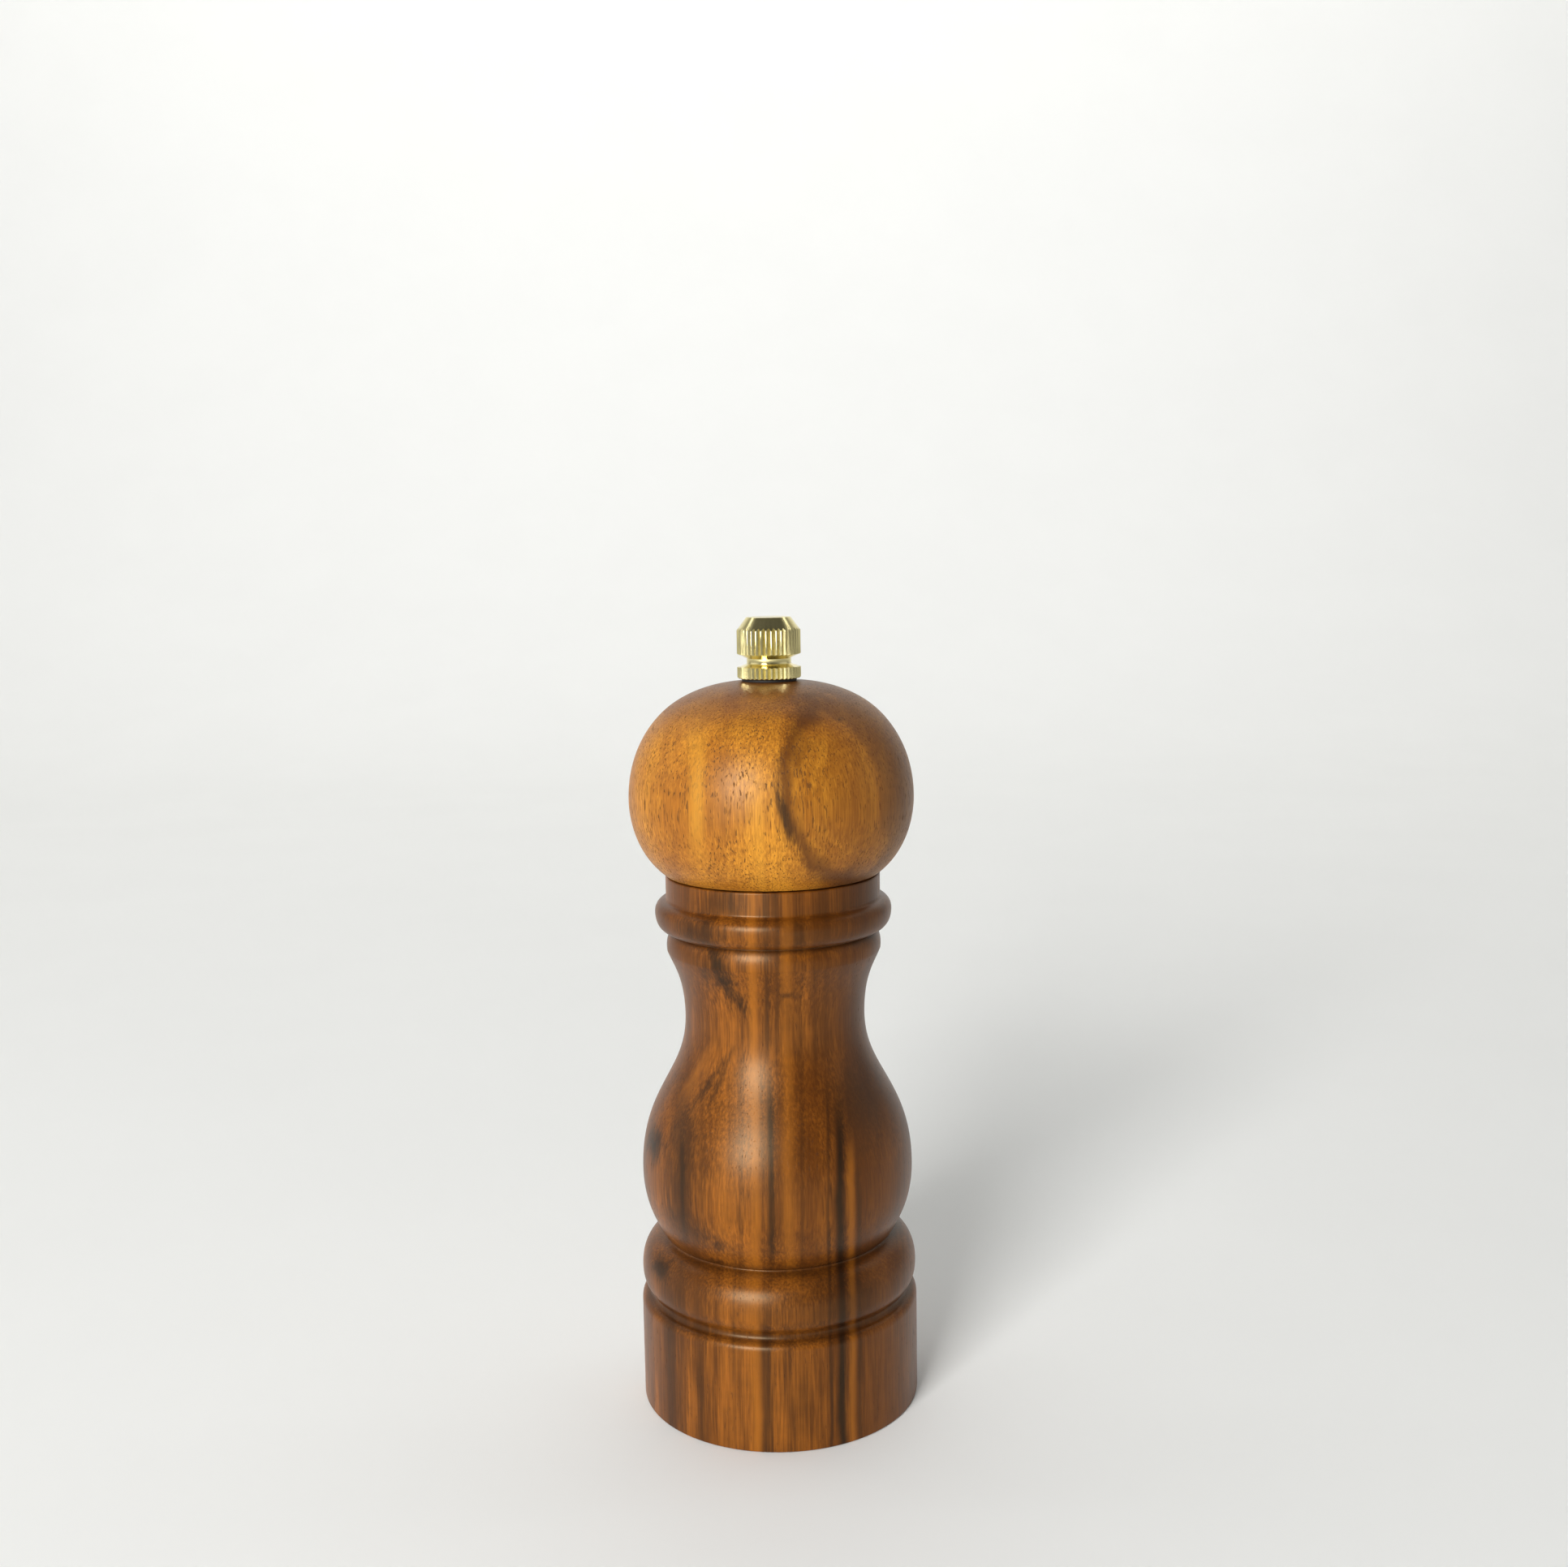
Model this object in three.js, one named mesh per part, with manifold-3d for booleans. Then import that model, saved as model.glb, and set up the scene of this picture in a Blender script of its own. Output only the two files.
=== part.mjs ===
// A turned hardwood pepper mill with a round head and a knurled brass knob, built as its separate pieces.
// Millimetres, +Z up. The origin is the centre of the base, on the surface that the mill stands on.
import * as THREE from "three";
import { mergeVertices } from "three/addons/utils/BufferGeometryUtils.js";
import Module from "manifold-3d";

const wasm = await Module();
wasm.setup();

// Clearances
const seat = 0.3; // between two pieces that rest on each other
const slip = 0.4; // around a piece that turns or lifts out
const edge = 0.4; // small rounding on a turned edge
const turns = 36; // sides of a large turned piece
const smallTurns = 20; // sides of a small turned piece
const screwTurns = 12; // sides of a screw and its hole
const curveSteps = 4; // straight pieces in each curve of a turned outline

// Turned body, outside. Heights are above the base, drops are below the top of the body.
const bodyHeight = 112.4;
const baseRadius = 29.3;
const baseHeight = 22.5; // top of the plain drum
const drumRound = 1.5; // rounding at the top of the drum
const grooveRadius = 27.3;
const grooveHeight = 23.7;
const beadRadius = 29.05;
const beadFoot = 24.6; // where the bead rises from the groove
const beadCrest = 28.6;
const creaseRadius = 24.1;
const creaseHeight = 36.0;
const bulbRadius = 28.46;
const bulbHeight = 49.9;
const waistRadius = 18.75;
const waistHeight = 82.5;
const footRadius = 22.3; // the flare under the collar
const footDrop = 14.3;
const collarCreaseRadius = 21.3;
const collarCreaseDrop = 11.6;
const collarRadius = 24.52;
const collarDrop = 7.6; // of the collar's widest line
const throatRadius = 22.2; // of the plain ring under the head
const throatDrop = 4.4;

// Turned body, inside
const spigotRadius = 14.6; // of the head's spigot
const spigotLength = 12.2;
const hopperRadius = 13.5; // of the chamber for the peppercorns
const mouthChamfer = 0.8;

// Head
const headRadius = 29.3;
const headHeight = 39.26;
const headCrest = 15.4; // the widest line, above the underside of the head
const shoulderRadius = 22.13; // where the head turns in most
const shoulderHeight = 33.1;
const crownRadius = 11.5; // of the flat crown that the knob sits on

// How far the turned curves run on before they bend: along the outline at a widest or narrowest line,
// and as [radius, height] away from a crease or a foot.
const reach = {
  beadRise: 2,
  beadFall: 3.6,
  beadToCrease: [3.35, 1.4],
  creaseToBulb: [1.7, 2.9],
  bulbRise: 7.2,
  bulbFall: 16.6,
  waistFall: 13,
  waistRise: 8.2,
  footRise: [1.2, 4.4],
  footTurn: [0.1, 1.5],
  footTuck: [0.2, 1],
  collarFoot: [0.6, 0.2],
  collarRise: 1.8,
  collarFall: 1.5,
  collarToThroat: [1, 1],
  throatFoot: [0.7, 0.5],
  headFoot: [6.2, 4.8],
  headRise: 3.1,
  headFall: 7.75,
  shoulderAbove: [4.13, 3.92],
  shoulderBelow: [4.09, 3.88],
  crown: 6.5,
};

// Knurled knob and its washer
const knobRadius = 6.5;
const knobWaist = 4.6; // radius at the bottom of the groove
const knobTop = 4.7; // radius of the flat top
const knobHeight = 12.04;
const lowerBand = 1.9; // height of the knurl under the groove
const grooveFloor = 3.0; // height of the groove's deepest line
const upperBandFoot = 4.6;
const upperBandTop = 9.4;
const knobBevel = 0.25;
const knurls = 36;
const knurlDepth = 0.28;
const washerRadius = 5.2;
const washerThickness = 0.4;

// Spindle
const shaftWidth = 5.0; // across the flats of the square bar
const threadLength = 22;
const endThreadRadius = 2.0; // of the round thread for the burr nut
const knobEngagement = 7.6; // length of thread inside the knob when it stands coarsest
const grindTravel = 1.6; // lift of the spindle from coarsest to finest
const bushWall = 1.45;
const bushFlangeWidth = 1.4; // past the bush's wall
const bushFlangeThickness = 0.8;

// Grinding mechanism, as heights above the base
const ringBottom = 5.2; // underside of the retaining ring
const ringThickness = 1.2;
const flangeWidth = 5.7; // past the housing's wall
const flangeThickness = 1.5;
const housingWall = 1.9; // round the outer burr
const burrRingRadius = 14.4;
const burrRingHeight = 10.3;
const burrLip = 1.4; // overlap of the housing above the outer burr, and of the retaining ring below it
const bridgeThickness = 2.0;
const bridgeArms = 3;
const armWidth = 4.2;
const hubWall = 1.5; // round the bush
const biteRadius = 12.0; // tips of the outer burr's teeth, at its lower face
const burrTaper = 0.25; // change of radius for each millimetre of height
const burrGap = 0.75; // between the teeth of the two burrs at the coarsest setting
const outerTeeth = 24;
const innerTeeth = 20;
const toothDepth = 0.8;
const cutterLobes = 6; // lobes that crack the corns above the teeth
const lobeDepth = 2.4;
const innerBurrBottom = 5.4;
const innerBurrHeight = 13.0;
const toothedHeight = 7.4;
const burrTwist = 0.35; // radians over a burr's height
const burrWasherRadius = 5.4;
const burrWasherThickness = 0.8;
const nutWidth = 7.0;
const nutHeight = 2.4;
const shaftStub = 0.4; // thread showing under the nut

// Spring over the inner burr
const springWire = 1.0;
const springRadius = 5.1; // of the coil's centre line
const springHeight = 8.2;
const springTurns = 5;
const springSeatRadius = 6.6;
const springSeatThickness = 0.8;

// Drive plate under the head and the screws
const plateRadius = 11.5;
const plateThickness = 1.2;
const plateScrewCircle = 8.0;
const plateScrews = 2;
const plateScrewRadius = 1.0;
const plateScrewHead = 2.0;
const plateScrewLength = 8.0;
const housingScrews = 3;
const housingScrewInset = 2.7; // from the flange's edge to the screw
const housingScrewRadius = 1.2;
const housingScrewHead = 2.3;
const housingScrewLength = 9.0;
const screwHeadHeight = 1.2;

// Heights worked out from the sizes above
const flangeBottom = ringBottom + ringThickness + seat;
const recessDepth = flangeBottom + flangeThickness + seat;
const headBottom = bodyHeight + seat;
const headTop = headBottom + headHeight;
const spigotBottom = headBottom - spigotLength;
const knobBottom = headTop + washerThickness + 2 * seat;
const shaftTop = knobBottom + knobEngagement;
const nutTop = innerBurrBottom - burrWasherThickness - 2 * seat;
const shaftBottom = nutTop - nutHeight - shaftStub;
const springBottom = innerBurrBottom + innerBurrHeight + seat;
const springSeatBottom = springBottom + springHeight + seat;
const bridgeBottom = springSeatBottom + springSeatThickness + seat;
const bridgeTop = bridgeBottom + bridgeThickness;
const mechanismTop = bridgeTop + seat;

// Radii worked out from the sizes above
const shaftReach = shaftWidth / Math.SQRT2; // from the axis to a corner of the square bar
const threadRadius = shaftWidth / 2; // of the round thread for the knob
const bushBore = shaftReach + slip;
const bushRadius = bushBore + bushWall;
const bushFlangeRadius = bushRadius + bushFlangeWidth;
const hubRadius = bushRadius + seat + hubWall;
const housingRadius = burrRingRadius + seat + housingWall;
const feedRadius = burrRingRadius - burrLip; // of the housing's bore above the outer burr
const ringOpening = burrRingRadius - burrLip;
const flangeRadius = housingRadius + flangeWidth;
const housingScrewCircle = flangeRadius - housingScrewInset;
const recessRadius = flangeRadius + slip;
const spigotBore = spigotRadius + slip;
const innerBite = biteRadius - burrGap + burrTaper * (flangeBottom - innerBurrBottom);

// Colours and finishes
function finish(color, roughness, metalness) {
  return new THREE.MeshStandardMaterial({ color, roughness, metalness });
}

const finishes = {
  bodyWood: finish(0x7a3d1c, 0.38, 0),
  headWood: finish(0xa8692f, 0.36, 0),
  brass: finish(0xd9c48a, 0.18, 1),
  steel: finish(0x9c9ea1, 0.35, 1),
  zinc: finish(0xb4b6b8, 0.42, 1),
  burrSteel: finish(0x5c5e61, 0.45, 1),
  nylon: finish(0xe4e0d4, 0.5, 0),
  fibre: finish(0x16130f, 0.7, 0),
};

// A turned solid: the closed outline in (radius, height) carried round the vertical axis.
function lathe(points, sides = turns) {
  const outline = THREE.ShapeUtils.isClockWise(points) ? points.slice().reverse() : points;
  return new THREE.LatheGeometry(outline, sides).rotateX(Math.PI / 2);
}

// An outline of straight lines from [radius, height] pairs, closed on its first point.
function outlineOf(pairs) {
  const points = pairs.map(([r, z]) => new THREE.Vector2(r, z));
  points.push(points[0].clone());
  return points;
}

const turned = (pairs, sides) => lathe(outlineOf(pairs), sides);

// A flat washer or tube with a round hole.
function tube(outer, inner, bottom, height, sides = turns) {
  const top = bottom + height;
  return turned([[inner, bottom], [outer, bottom], [outer, top], [inner, top]], sides);
}

// A plain round bar standing on the given height.
function bar(radius, bottom, height, sides = smallTurns) {
  return turned([[0, bottom], [radius, bottom], [radius, bottom + height], [0, bottom + height]], sides);
}

// A square or rectangular bar standing on the given height, centred on the axis.
function block(width, depth, bottom, height) {
  return new THREE.BoxGeometry(width, depth, height).translate(0, 0, bottom + height / 2);
}

// An upright prism of an outline given as points round the axis.
function prism(points, bottom, height, steps = 1) {
  const options = { depth: height, steps, bevelEnabled: false };
  return new THREE.ExtrudeGeometry(new THREE.Shape(points), options).translate(0, 0, bottom);
}

// A toothed outline: each tooth is a tip at the outer radius and a valley at the inner one.
function toothedOutline(teeth, tipRadius, valleyRadius) {
  const points = [];
  for (let i = 0; i < 2 * teeth; i += 1) {
    const radius = i % 2 ? valleyRadius : tipRadius;
    const angle = (i * Math.PI) / teeth;
    points.push(new THREE.Vector2(radius * Math.cos(angle), radius * Math.sin(angle)));
  }
  return points;
}

// A toothed cone: the outline's prism, with each level drawn in and turned in proportion to its height.
function toothedCone({ teeth, tip, valley, bottom, height, taper, twist }) {
  const cone = prism(toothedOutline(teeth, tip, valley), 0, height, 4);
  const place = cone.attributes.position;
  for (let i = 0; i < place.count; i += 1) {
    const share = place.getZ(i) / height;
    const scale = (tip - taper * place.getZ(i)) / tip;
    const angle = twist * share;
    const x = place.getX(i) * scale;
    const y = place.getY(i) * scale;
    place.setXY(i, x * Math.cos(angle) - y * Math.sin(angle), x * Math.sin(angle) + y * Math.cos(angle));
  }
  return cone.translate(0, 0, bottom);
}

// A geometry as a solid for cutting and joining, and back.
function solid(geometry) {
  const plain = geometry.clone();
  plain.deleteAttribute("normal");
  plain.deleteAttribute("uv");
  const merged = mergeVertices(plain, 1e-4);
  const vertProperties = new Float32Array(merged.attributes.position.array);
  const triVerts = new Uint32Array(merged.index.array);
  return new wasm.Manifold(new wasm.Mesh({ numProp: 3, vertProperties, triVerts }));
}

function geometryOf(made) {
  const mesh = made.getMesh();
  const geometry = new THREE.BufferGeometry();
  geometry.setAttribute("position", new THREE.BufferAttribute(mesh.vertProperties, 3));
  geometry.setIndex(new THREE.BufferAttribute(mesh.triVerts, 1));
  return geometry.toNonIndexed();
}

const cut = (geometry, ...tools) =>
  geometryOf(tools.reduce((made, tool) => made.subtract(solid(tool)), solid(geometry)));
const join = (geometry, ...others) =>
  geometryOf(others.reduce((made, other) => made.add(solid(other)), solid(geometry)));

// The same geometry placed round the axis a number of times, starting at an angle.
function around(count, radius, makeOne, start = 0) {
  return Array.from({ length: count }, (_, i) => {
    const angle = start + (i * 2 * Math.PI) / count;
    return makeOne().rotateZ(angle).translate(radius * Math.cos(angle), radius * Math.sin(angle), 0);
  });
}

// Where the housing screws stand: between the arms of the bridge.
const housingScrewStart = Math.PI / 6;

function bodyShell() {
  const path = new THREE.Path();
  path.moveTo(baseRadius - edge, 0);
  path.quadraticCurveTo(baseRadius, 0, baseRadius, edge);
  path.lineTo(baseRadius, baseHeight - drumRound);
  path.quadraticCurveTo(baseRadius, baseHeight, grooveRadius + edge, baseHeight + edge);
  path.quadraticCurveTo(grooveRadius - edge, grooveHeight, grooveRadius + edge, beadFoot);
  path.bezierCurveTo(
    beadRadius - edge, beadFoot + 2 * edge, beadRadius, beadCrest - reach.beadRise, beadRadius, beadCrest,
  );
  const [creaseOut, creaseDown] = reach.beadToCrease;
  path.bezierCurveTo(
    beadRadius, beadCrest + reach.beadFall,
    creaseRadius + creaseOut, creaseHeight - creaseDown,
    creaseRadius + edge, creaseHeight - edge,
  );
  path.quadraticCurveTo(creaseRadius - edge, creaseHeight, creaseRadius + edge, creaseHeight + edge);
  const [bulbOut, bulbUp] = reach.creaseToBulb;
  path.bezierCurveTo(
    creaseRadius + bulbOut, creaseHeight + bulbUp,
    bulbRadius, bulbHeight - reach.bulbRise,
    bulbRadius, bulbHeight,
  );
  path.bezierCurveTo(
    bulbRadius, bulbHeight + reach.bulbFall,
    waistRadius, waistHeight - reach.waistFall,
    waistRadius, waistHeight,
  );
  const footHeight = bodyHeight - footDrop;
  const [footIn, footDown] = reach.footRise;
  const [turnIn, turnDown] = reach.footTurn;
  path.bezierCurveTo(
    waistRadius, waistHeight + reach.waistRise,
    footRadius - footIn, footHeight - footDown,
    footRadius - turnIn, footHeight - turnDown,
  );
  const collarCrease = bodyHeight - collarCreaseDrop;
  const [tuckOut, tuckUp] = reach.footTuck;
  path.quadraticCurveTo(
    footRadius + tuckOut, footHeight + tuckUp, collarCreaseRadius, collarCrease - edge / 2,
  );
  path.lineTo(collarCreaseRadius, collarCrease);
  const collarCrest = bodyHeight - collarDrop;
  const [collarIn, collarUp] = reach.collarFoot;
  path.bezierCurveTo(
    collarRadius - collarIn, collarCrease + collarUp,
    collarRadius, collarCrest - reach.collarRise,
    collarRadius, collarCrest,
  );
  const throatFoot = bodyHeight - throatDrop;
  const [throatIn, throatDown] = reach.collarToThroat;
  const [bendDown, bendPull] = reach.throatFoot;
  path.bezierCurveTo(
    collarRadius, collarCrest + reach.collarFall,
    collarRadius - throatIn, throatFoot - throatDown,
    throatRadius + edge, throatFoot - bendDown,
  );
  path.quadraticCurveTo(throatRadius, throatFoot - bendPull, throatRadius, throatFoot);
  path.lineTo(throatRadius, bodyHeight - edge);
  path.quadraticCurveTo(throatRadius, bodyHeight, throatRadius - edge, bodyHeight);
  path.lineTo(spigotBore + mouthChamfer, bodyHeight);
  path.lineTo(spigotBore, bodyHeight - mouthChamfer);
  const counterboreFloor = spigotBottom - plateThickness - screwHeadHeight - 4 * seat;
  path.lineTo(spigotBore, counterboreFloor);
  path.lineTo(hopperRadius, counterboreFloor - Math.abs(spigotBore - hopperRadius));
  path.lineTo(hopperRadius, mechanismTop);
  path.lineTo(housingRadius + slip, mechanismTop);
  path.lineTo(housingRadius + slip, recessDepth);
  path.lineTo(recessRadius, recessDepth);
  path.lineTo(recessRadius, 0);
  path.closePath();
  const pilot = () => bar(housingScrewRadius + seat, recessDepth - 1, housingScrewLength, screwTurns);
  const pilots = around(housingScrews, housingScrewCircle, pilot, housingScrewStart);
  return cut(lathe(path.getPoints(curveSteps)), ...pilots);
}

// The die-cast housing: a flange for the screws, a tube for the outer burr, and a bridge with three arms
// that guides the spindle and lets the corns past.
function grinderHousing() {
  const burrBore = burrRingRadius + seat;
  const step = flangeBottom + burrRingHeight + seat;
  const shell = turned([
    [burrBore, flangeBottom],
    [flangeRadius, flangeBottom],
    [flangeRadius, flangeBottom + flangeThickness],
    [housingRadius, flangeBottom + flangeThickness],
    [housingRadius, bridgeTop],
    [feedRadius, bridgeTop],
    [feedRadius, step],
    [burrBore, step],
  ]);
  const hub = bar(hubRadius, bridgeBottom, bridgeThickness, turns);
  const armLength = (housingRadius + feedRadius) / 2;
  const arm = () => block(armLength, armWidth, bridgeBottom, bridgeThickness).translate(armLength / 2, 0, 0);
  const arms = around(bridgeArms, 0, arm, Math.PI / 3);
  const bushHole = bar(bushRadius + seat, bridgeBottom - 1, bridgeThickness + 2, turns);
  const screwHole = () => bar(housingScrewRadius + slip, flangeBottom - 1, flangeThickness + 2, screwTurns);
  const screwHoles = around(housingScrews, housingScrewCircle, screwHole, housingScrewStart);
  return cut(join(shell, hub, ...arms), bushHole, ...screwHoles);
}

// The flat ring under the flange that holds the outer burr up in the housing.
function retainingRing() {
  const plate = tube(flangeRadius, ringOpening, ringBottom, ringThickness);
  const screwHole = () => bar(housingScrewRadius + slip, ringBottom - 1, ringThickness + 2, screwTurns);
  return cut(plate, ...around(housingScrews, housingScrewCircle, screwHole, housingScrewStart));
}

function outerBurr() {
  const blank = bar(burrRingRadius, flangeBottom, burrRingHeight, turns);
  const margin = 1;
  const bite = toothedCone({
    teeth: outerTeeth,
    tip: biteRadius + toothDepth + burrTaper * margin,
    valley: biteRadius + burrTaper * margin,
    bottom: flangeBottom - margin,
    height: burrRingHeight + 2 * margin,
    taper: burrTaper,
    twist: -burrTwist,
  });
  return cut(blank, bite);
}

function innerBurr() {
  const toothed = toothedCone({
    teeth: innerTeeth,
    tip: innerBite,
    valley: innerBite - toothDepth,
    bottom: innerBurrBottom,
    height: toothedHeight,
    taper: burrTaper,
    twist: burrTwist,
  });
  const lobeTip = innerBite - burrTaper * toothedHeight;
  const overlap = 0.5;
  const lobed = toothedCone({
    teeth: cutterLobes,
    tip: lobeTip,
    valley: lobeTip - lobeDepth,
    bottom: innerBurrBottom + toothedHeight - overlap,
    height: innerBurrHeight - toothedHeight + overlap,
    taper: burrTaper,
    twist: 2 * burrTwist,
  });
  const hole = shaftWidth + 2 * seat;
  return cut(join(toothed, lobed), block(hole, hole, innerBurrBottom - 1, innerBurrHeight + 2));
}

function guideBush() {
  const flangeFoot = bridgeTop + seat;
  const flangeTop = flangeFoot + bushFlangeThickness;
  return turned([
    [bushBore, bridgeBottom],
    [bushRadius, bridgeBottom],
    [bushRadius, flangeFoot],
    [bushFlangeRadius, flangeFoot],
    [bushFlangeRadius, flangeTop],
    [bushBore, flangeTop],
  ], smallTurns);
}

// A pan-head wood screw with a cross slot, its head down and its point up.
function screw(shank, pan, length) {
  const body = turned([
    [0, -screwHeadHeight],
    [pan * 0.7, -screwHeadHeight],
    [pan, -screwHeadHeight * 0.4],
    [pan, 0],
    [shank, 0],
    [shank, length - 2 * shank],
    [0, length],
  ], screwTurns);
  const slot = pan * 0.35;
  const deep = screwHeadHeight * 0.5;
  const long = pan * 1.5;
  return cut(
    body,
    block(long, slot, -screwHeadHeight - deep, 2 * deep),
    block(slot, long, -screwHeadHeight - deep, 2 * deep),
  );
}

// The square hole that the bar drives, cut through a plate.
function drivenPlate(radius, bottom, thickness, ...holes) {
  const hole = shaftWidth + 2 * seat;
  return cut(bar(radius, bottom, thickness, turns), block(hole, hole, bottom - 1, thickness + 2), ...holes);
}

function burrSpring() {
  const climb = springHeight - springWire;
  const steps = 14 * springTurns;
  const points = [];
  for (let i = 0; i <= steps; i += 1) {
    const share = i / steps;
    const angle = 2 * Math.PI * springTurns * share;
    // The end turns lie flat, and the turns between them climb.
    const rise = THREE.MathUtils.clamp((share * springTurns - 0.6) / (springTurns - 1.2), 0, 1);
    const z = springBottom + springWire / 2 + rise * climb;
    points.push(new THREE.Vector3(springRadius * Math.cos(angle), springRadius * Math.sin(angle), z));
  }
  const route = new THREE.CatmullRomCurve3(points);
  const wire = Array.from({ length: 6 }, (_, i) => {
    const angle = (i * Math.PI) / 3;
    return new THREE.Vector2((springWire / 2) * Math.cos(angle), (springWire / 2) * Math.sin(angle));
  });
  return new THREE.ExtrudeGeometry(new THREE.Shape(wire), { steps, extrudePath: route });
}

function spindleShaft() {
  const squareFoot = innerBurrBottom;
  const threadFoot = shaftTop - threadLength;
  const root = 1; // length of each round end inside the square bar
  return join(
    block(shaftWidth, shaftWidth, squareFoot, threadFoot - squareFoot),
    bar(endThreadRadius, shaftBottom, squareFoot - shaftBottom + root),
    turned([
      [0, threadFoot - root],
      [threadRadius, threadFoot - root],
      [threadRadius, shaftTop - edge],
      [threadRadius - edge, shaftTop],
      [0, shaftTop],
    ], smallTurns),
  );
}

function burrNut() {
  const corner = nutWidth / 2 / Math.cos(Math.PI / 6);
  const hexagon = Array.from({ length: 6 }, (_, i) => {
    const angle = (i * Math.PI) / 3;
    return new THREE.Vector2(corner * Math.cos(angle), corner * Math.sin(angle));
  });
  const bottom = nutTop - nutHeight;
  return cut(prism(hexagon, bottom, nutHeight), bar(endThreadRadius + seat, bottom - 1, nutHeight + 2));
}

function head() {
  const path = new THREE.Path();
  path.moveTo(shaftReach + slip, spigotBottom);
  path.lineTo(spigotRadius - mouthChamfer, spigotBottom);
  path.lineTo(spigotRadius, spigotBottom + mouthChamfer);
  path.lineTo(spigotRadius, headBottom);
  path.lineTo(throatRadius, headBottom);
  const crest = headBottom + headCrest;
  const [footOut, footUp] = reach.headFoot;
  path.bezierCurveTo(
    throatRadius + footOut, headBottom + footUp, headRadius, crest - reach.headRise, headRadius, crest,
  );
  const shoulder = headBottom + shoulderHeight;
  const [aboveOut, aboveDown] = reach.shoulderAbove;
  path.bezierCurveTo(
    headRadius, crest + reach.headFall,
    shoulderRadius + aboveOut, shoulder - aboveDown,
    shoulderRadius, shoulder,
  );
  const [belowIn, belowUp] = reach.shoulderBelow;
  path.bezierCurveTo(
    shoulderRadius - belowIn, shoulder + belowUp, crownRadius, headTop, crownRadius - reach.crown, headTop,
  );
  path.lineTo(shaftReach + slip, headTop);
  path.closePath();
  const pilot = () => bar(plateScrewRadius + seat, spigotBottom - 1, plateScrewLength + 1, screwTurns);
  return cut(lathe(path.getPoints(2 * curveSteps)), ...around(plateScrews, plateScrewCircle, pilot));
}

function drivePlate() {
  const bottom = spigotBottom - seat - plateThickness;
  const hole = () => bar(plateScrewRadius + seat, bottom - 1, plateThickness + 2, screwTurns);
  return drivenPlate(plateRadius, bottom, plateThickness, ...around(plateScrews, plateScrewCircle, hole));
}

// The knob: a turned core with two straight-knurled bands, a groove between them and a blind thread below.
function knob() {
  const boreDepth = knobEngagement + grindTravel + 2 * seat;
  const valley = knobRadius - knurlDepth;
  const core = turned([
    [0, 0],
    [valley - knobBevel, 0],
    [valley, knobBevel],
    [valley, lowerBand],
    [knobWaist, grooveFloor],
    [valley, upperBandFoot],
    [valley, upperBandTop],
    [knobTop, knobHeight],
    [0, knobHeight],
  ], knurls);
  const ridgeOutline = toothedOutline(knurls, knobRadius, valley - 0.05);
  const ridges = (bottom, top) => prism(ridgeOutline, bottom, top - bottom);
  const made = join(core, ridges(knobBevel, lowerBand), ridges(upperBandFoot, upperBandTop));
  return cut(made, bar(threadRadius + seat, -1, boreDepth + 1)).translate(0, 0, knobBottom);
}

const mill = new THREE.Group();

function add(group, name, geometry, material) {
  const mesh = new THREE.Mesh(geometry, material);
  mesh.name = name;
  group.add(mesh);
  return mesh;
}

// The fixed pieces: the body and the mechanism screwed into its base.
const fixed = new THREE.Group();
add(fixed, "body_shell", bodyShell(), finishes.bodyWood);
add(fixed, "grinder_housing", grinderHousing(), finishes.zinc);
add(fixed, "retaining_ring", retainingRing(), finishes.steel);
add(fixed, "outer_burr", outerBurr(), finishes.burrSteel);
add(fixed, "guide_bush", guideBush(), finishes.nylon);
const housingScrew = () =>
  screw(housingScrewRadius, housingScrewHead, housingScrewLength).translate(0, 0, ringBottom - seat);
around(housingScrews, housingScrewCircle, housingScrew, housingScrewStart).forEach((geometry, i) => {
  add(fixed, `housing_screw_${i + 1}`, geometry, finishes.steel);
});

// The washer that turns with the spindle under the bridge, and the spring that it holds down on the burr.
const drive = new THREE.Group();
const springSeat = drivenPlate(springSeatRadius, springSeatBottom, springSeatThickness);
add(drive, "spring_seat", springSeat, finishes.steel);

// The spindle with the inner burr, which rises and falls as the knob is turned.
const spindle = new THREE.Group();
add(spindle, "spindle_shaft", spindleShaft(), finishes.steel);
add(spindle, "inner_burr", innerBurr(), finishes.burrSteel);
add(spindle, "burr_spring", burrSpring(), finishes.steel);
const burrWasherBore = endThreadRadius + seat;
const burrWasherBottom = innerBurrBottom - seat - burrWasherThickness;
const burrWasher = tube(burrWasherRadius, burrWasherBore, burrWasherBottom, burrWasherThickness, smallTurns);
add(spindle, "burr_washer", burrWasher, finishes.steel);
add(spindle, "burr_nut", burrNut(), finishes.steel);

// The head, which turns the spindle through its drive plate and lifts off for filling.
const top = new THREE.Group();
add(top, "head", head(), finishes.headWood);
add(top, "drive_plate", drivePlate(), finishes.steel);
const plateBottom = spigotBottom - seat - plateThickness;
const plateScrew = () =>
  screw(plateScrewRadius, plateScrewHead, plateScrewLength).translate(0, 0, plateBottom - seat);
around(plateScrews, plateScrewCircle, plateScrew).forEach((geometry, i) => {
  add(top, `drive_plate_screw_${i + 1}`, geometry, finishes.steel);
});

// The knob and the thin washer that it turns on.
const knobWasher = tube(washerRadius, shaftReach + slip, headTop + seat, washerThickness);
add(top, "knob_washer", knobWasher, finishes.fibre);
add(top, "knob", knob(), finishes.brass);

mill.add(fixed, drive, spindle, top);
export default mill;
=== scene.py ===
import math

import bpy
import numpy as np
from mathutils import Matrix, Vector


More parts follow.
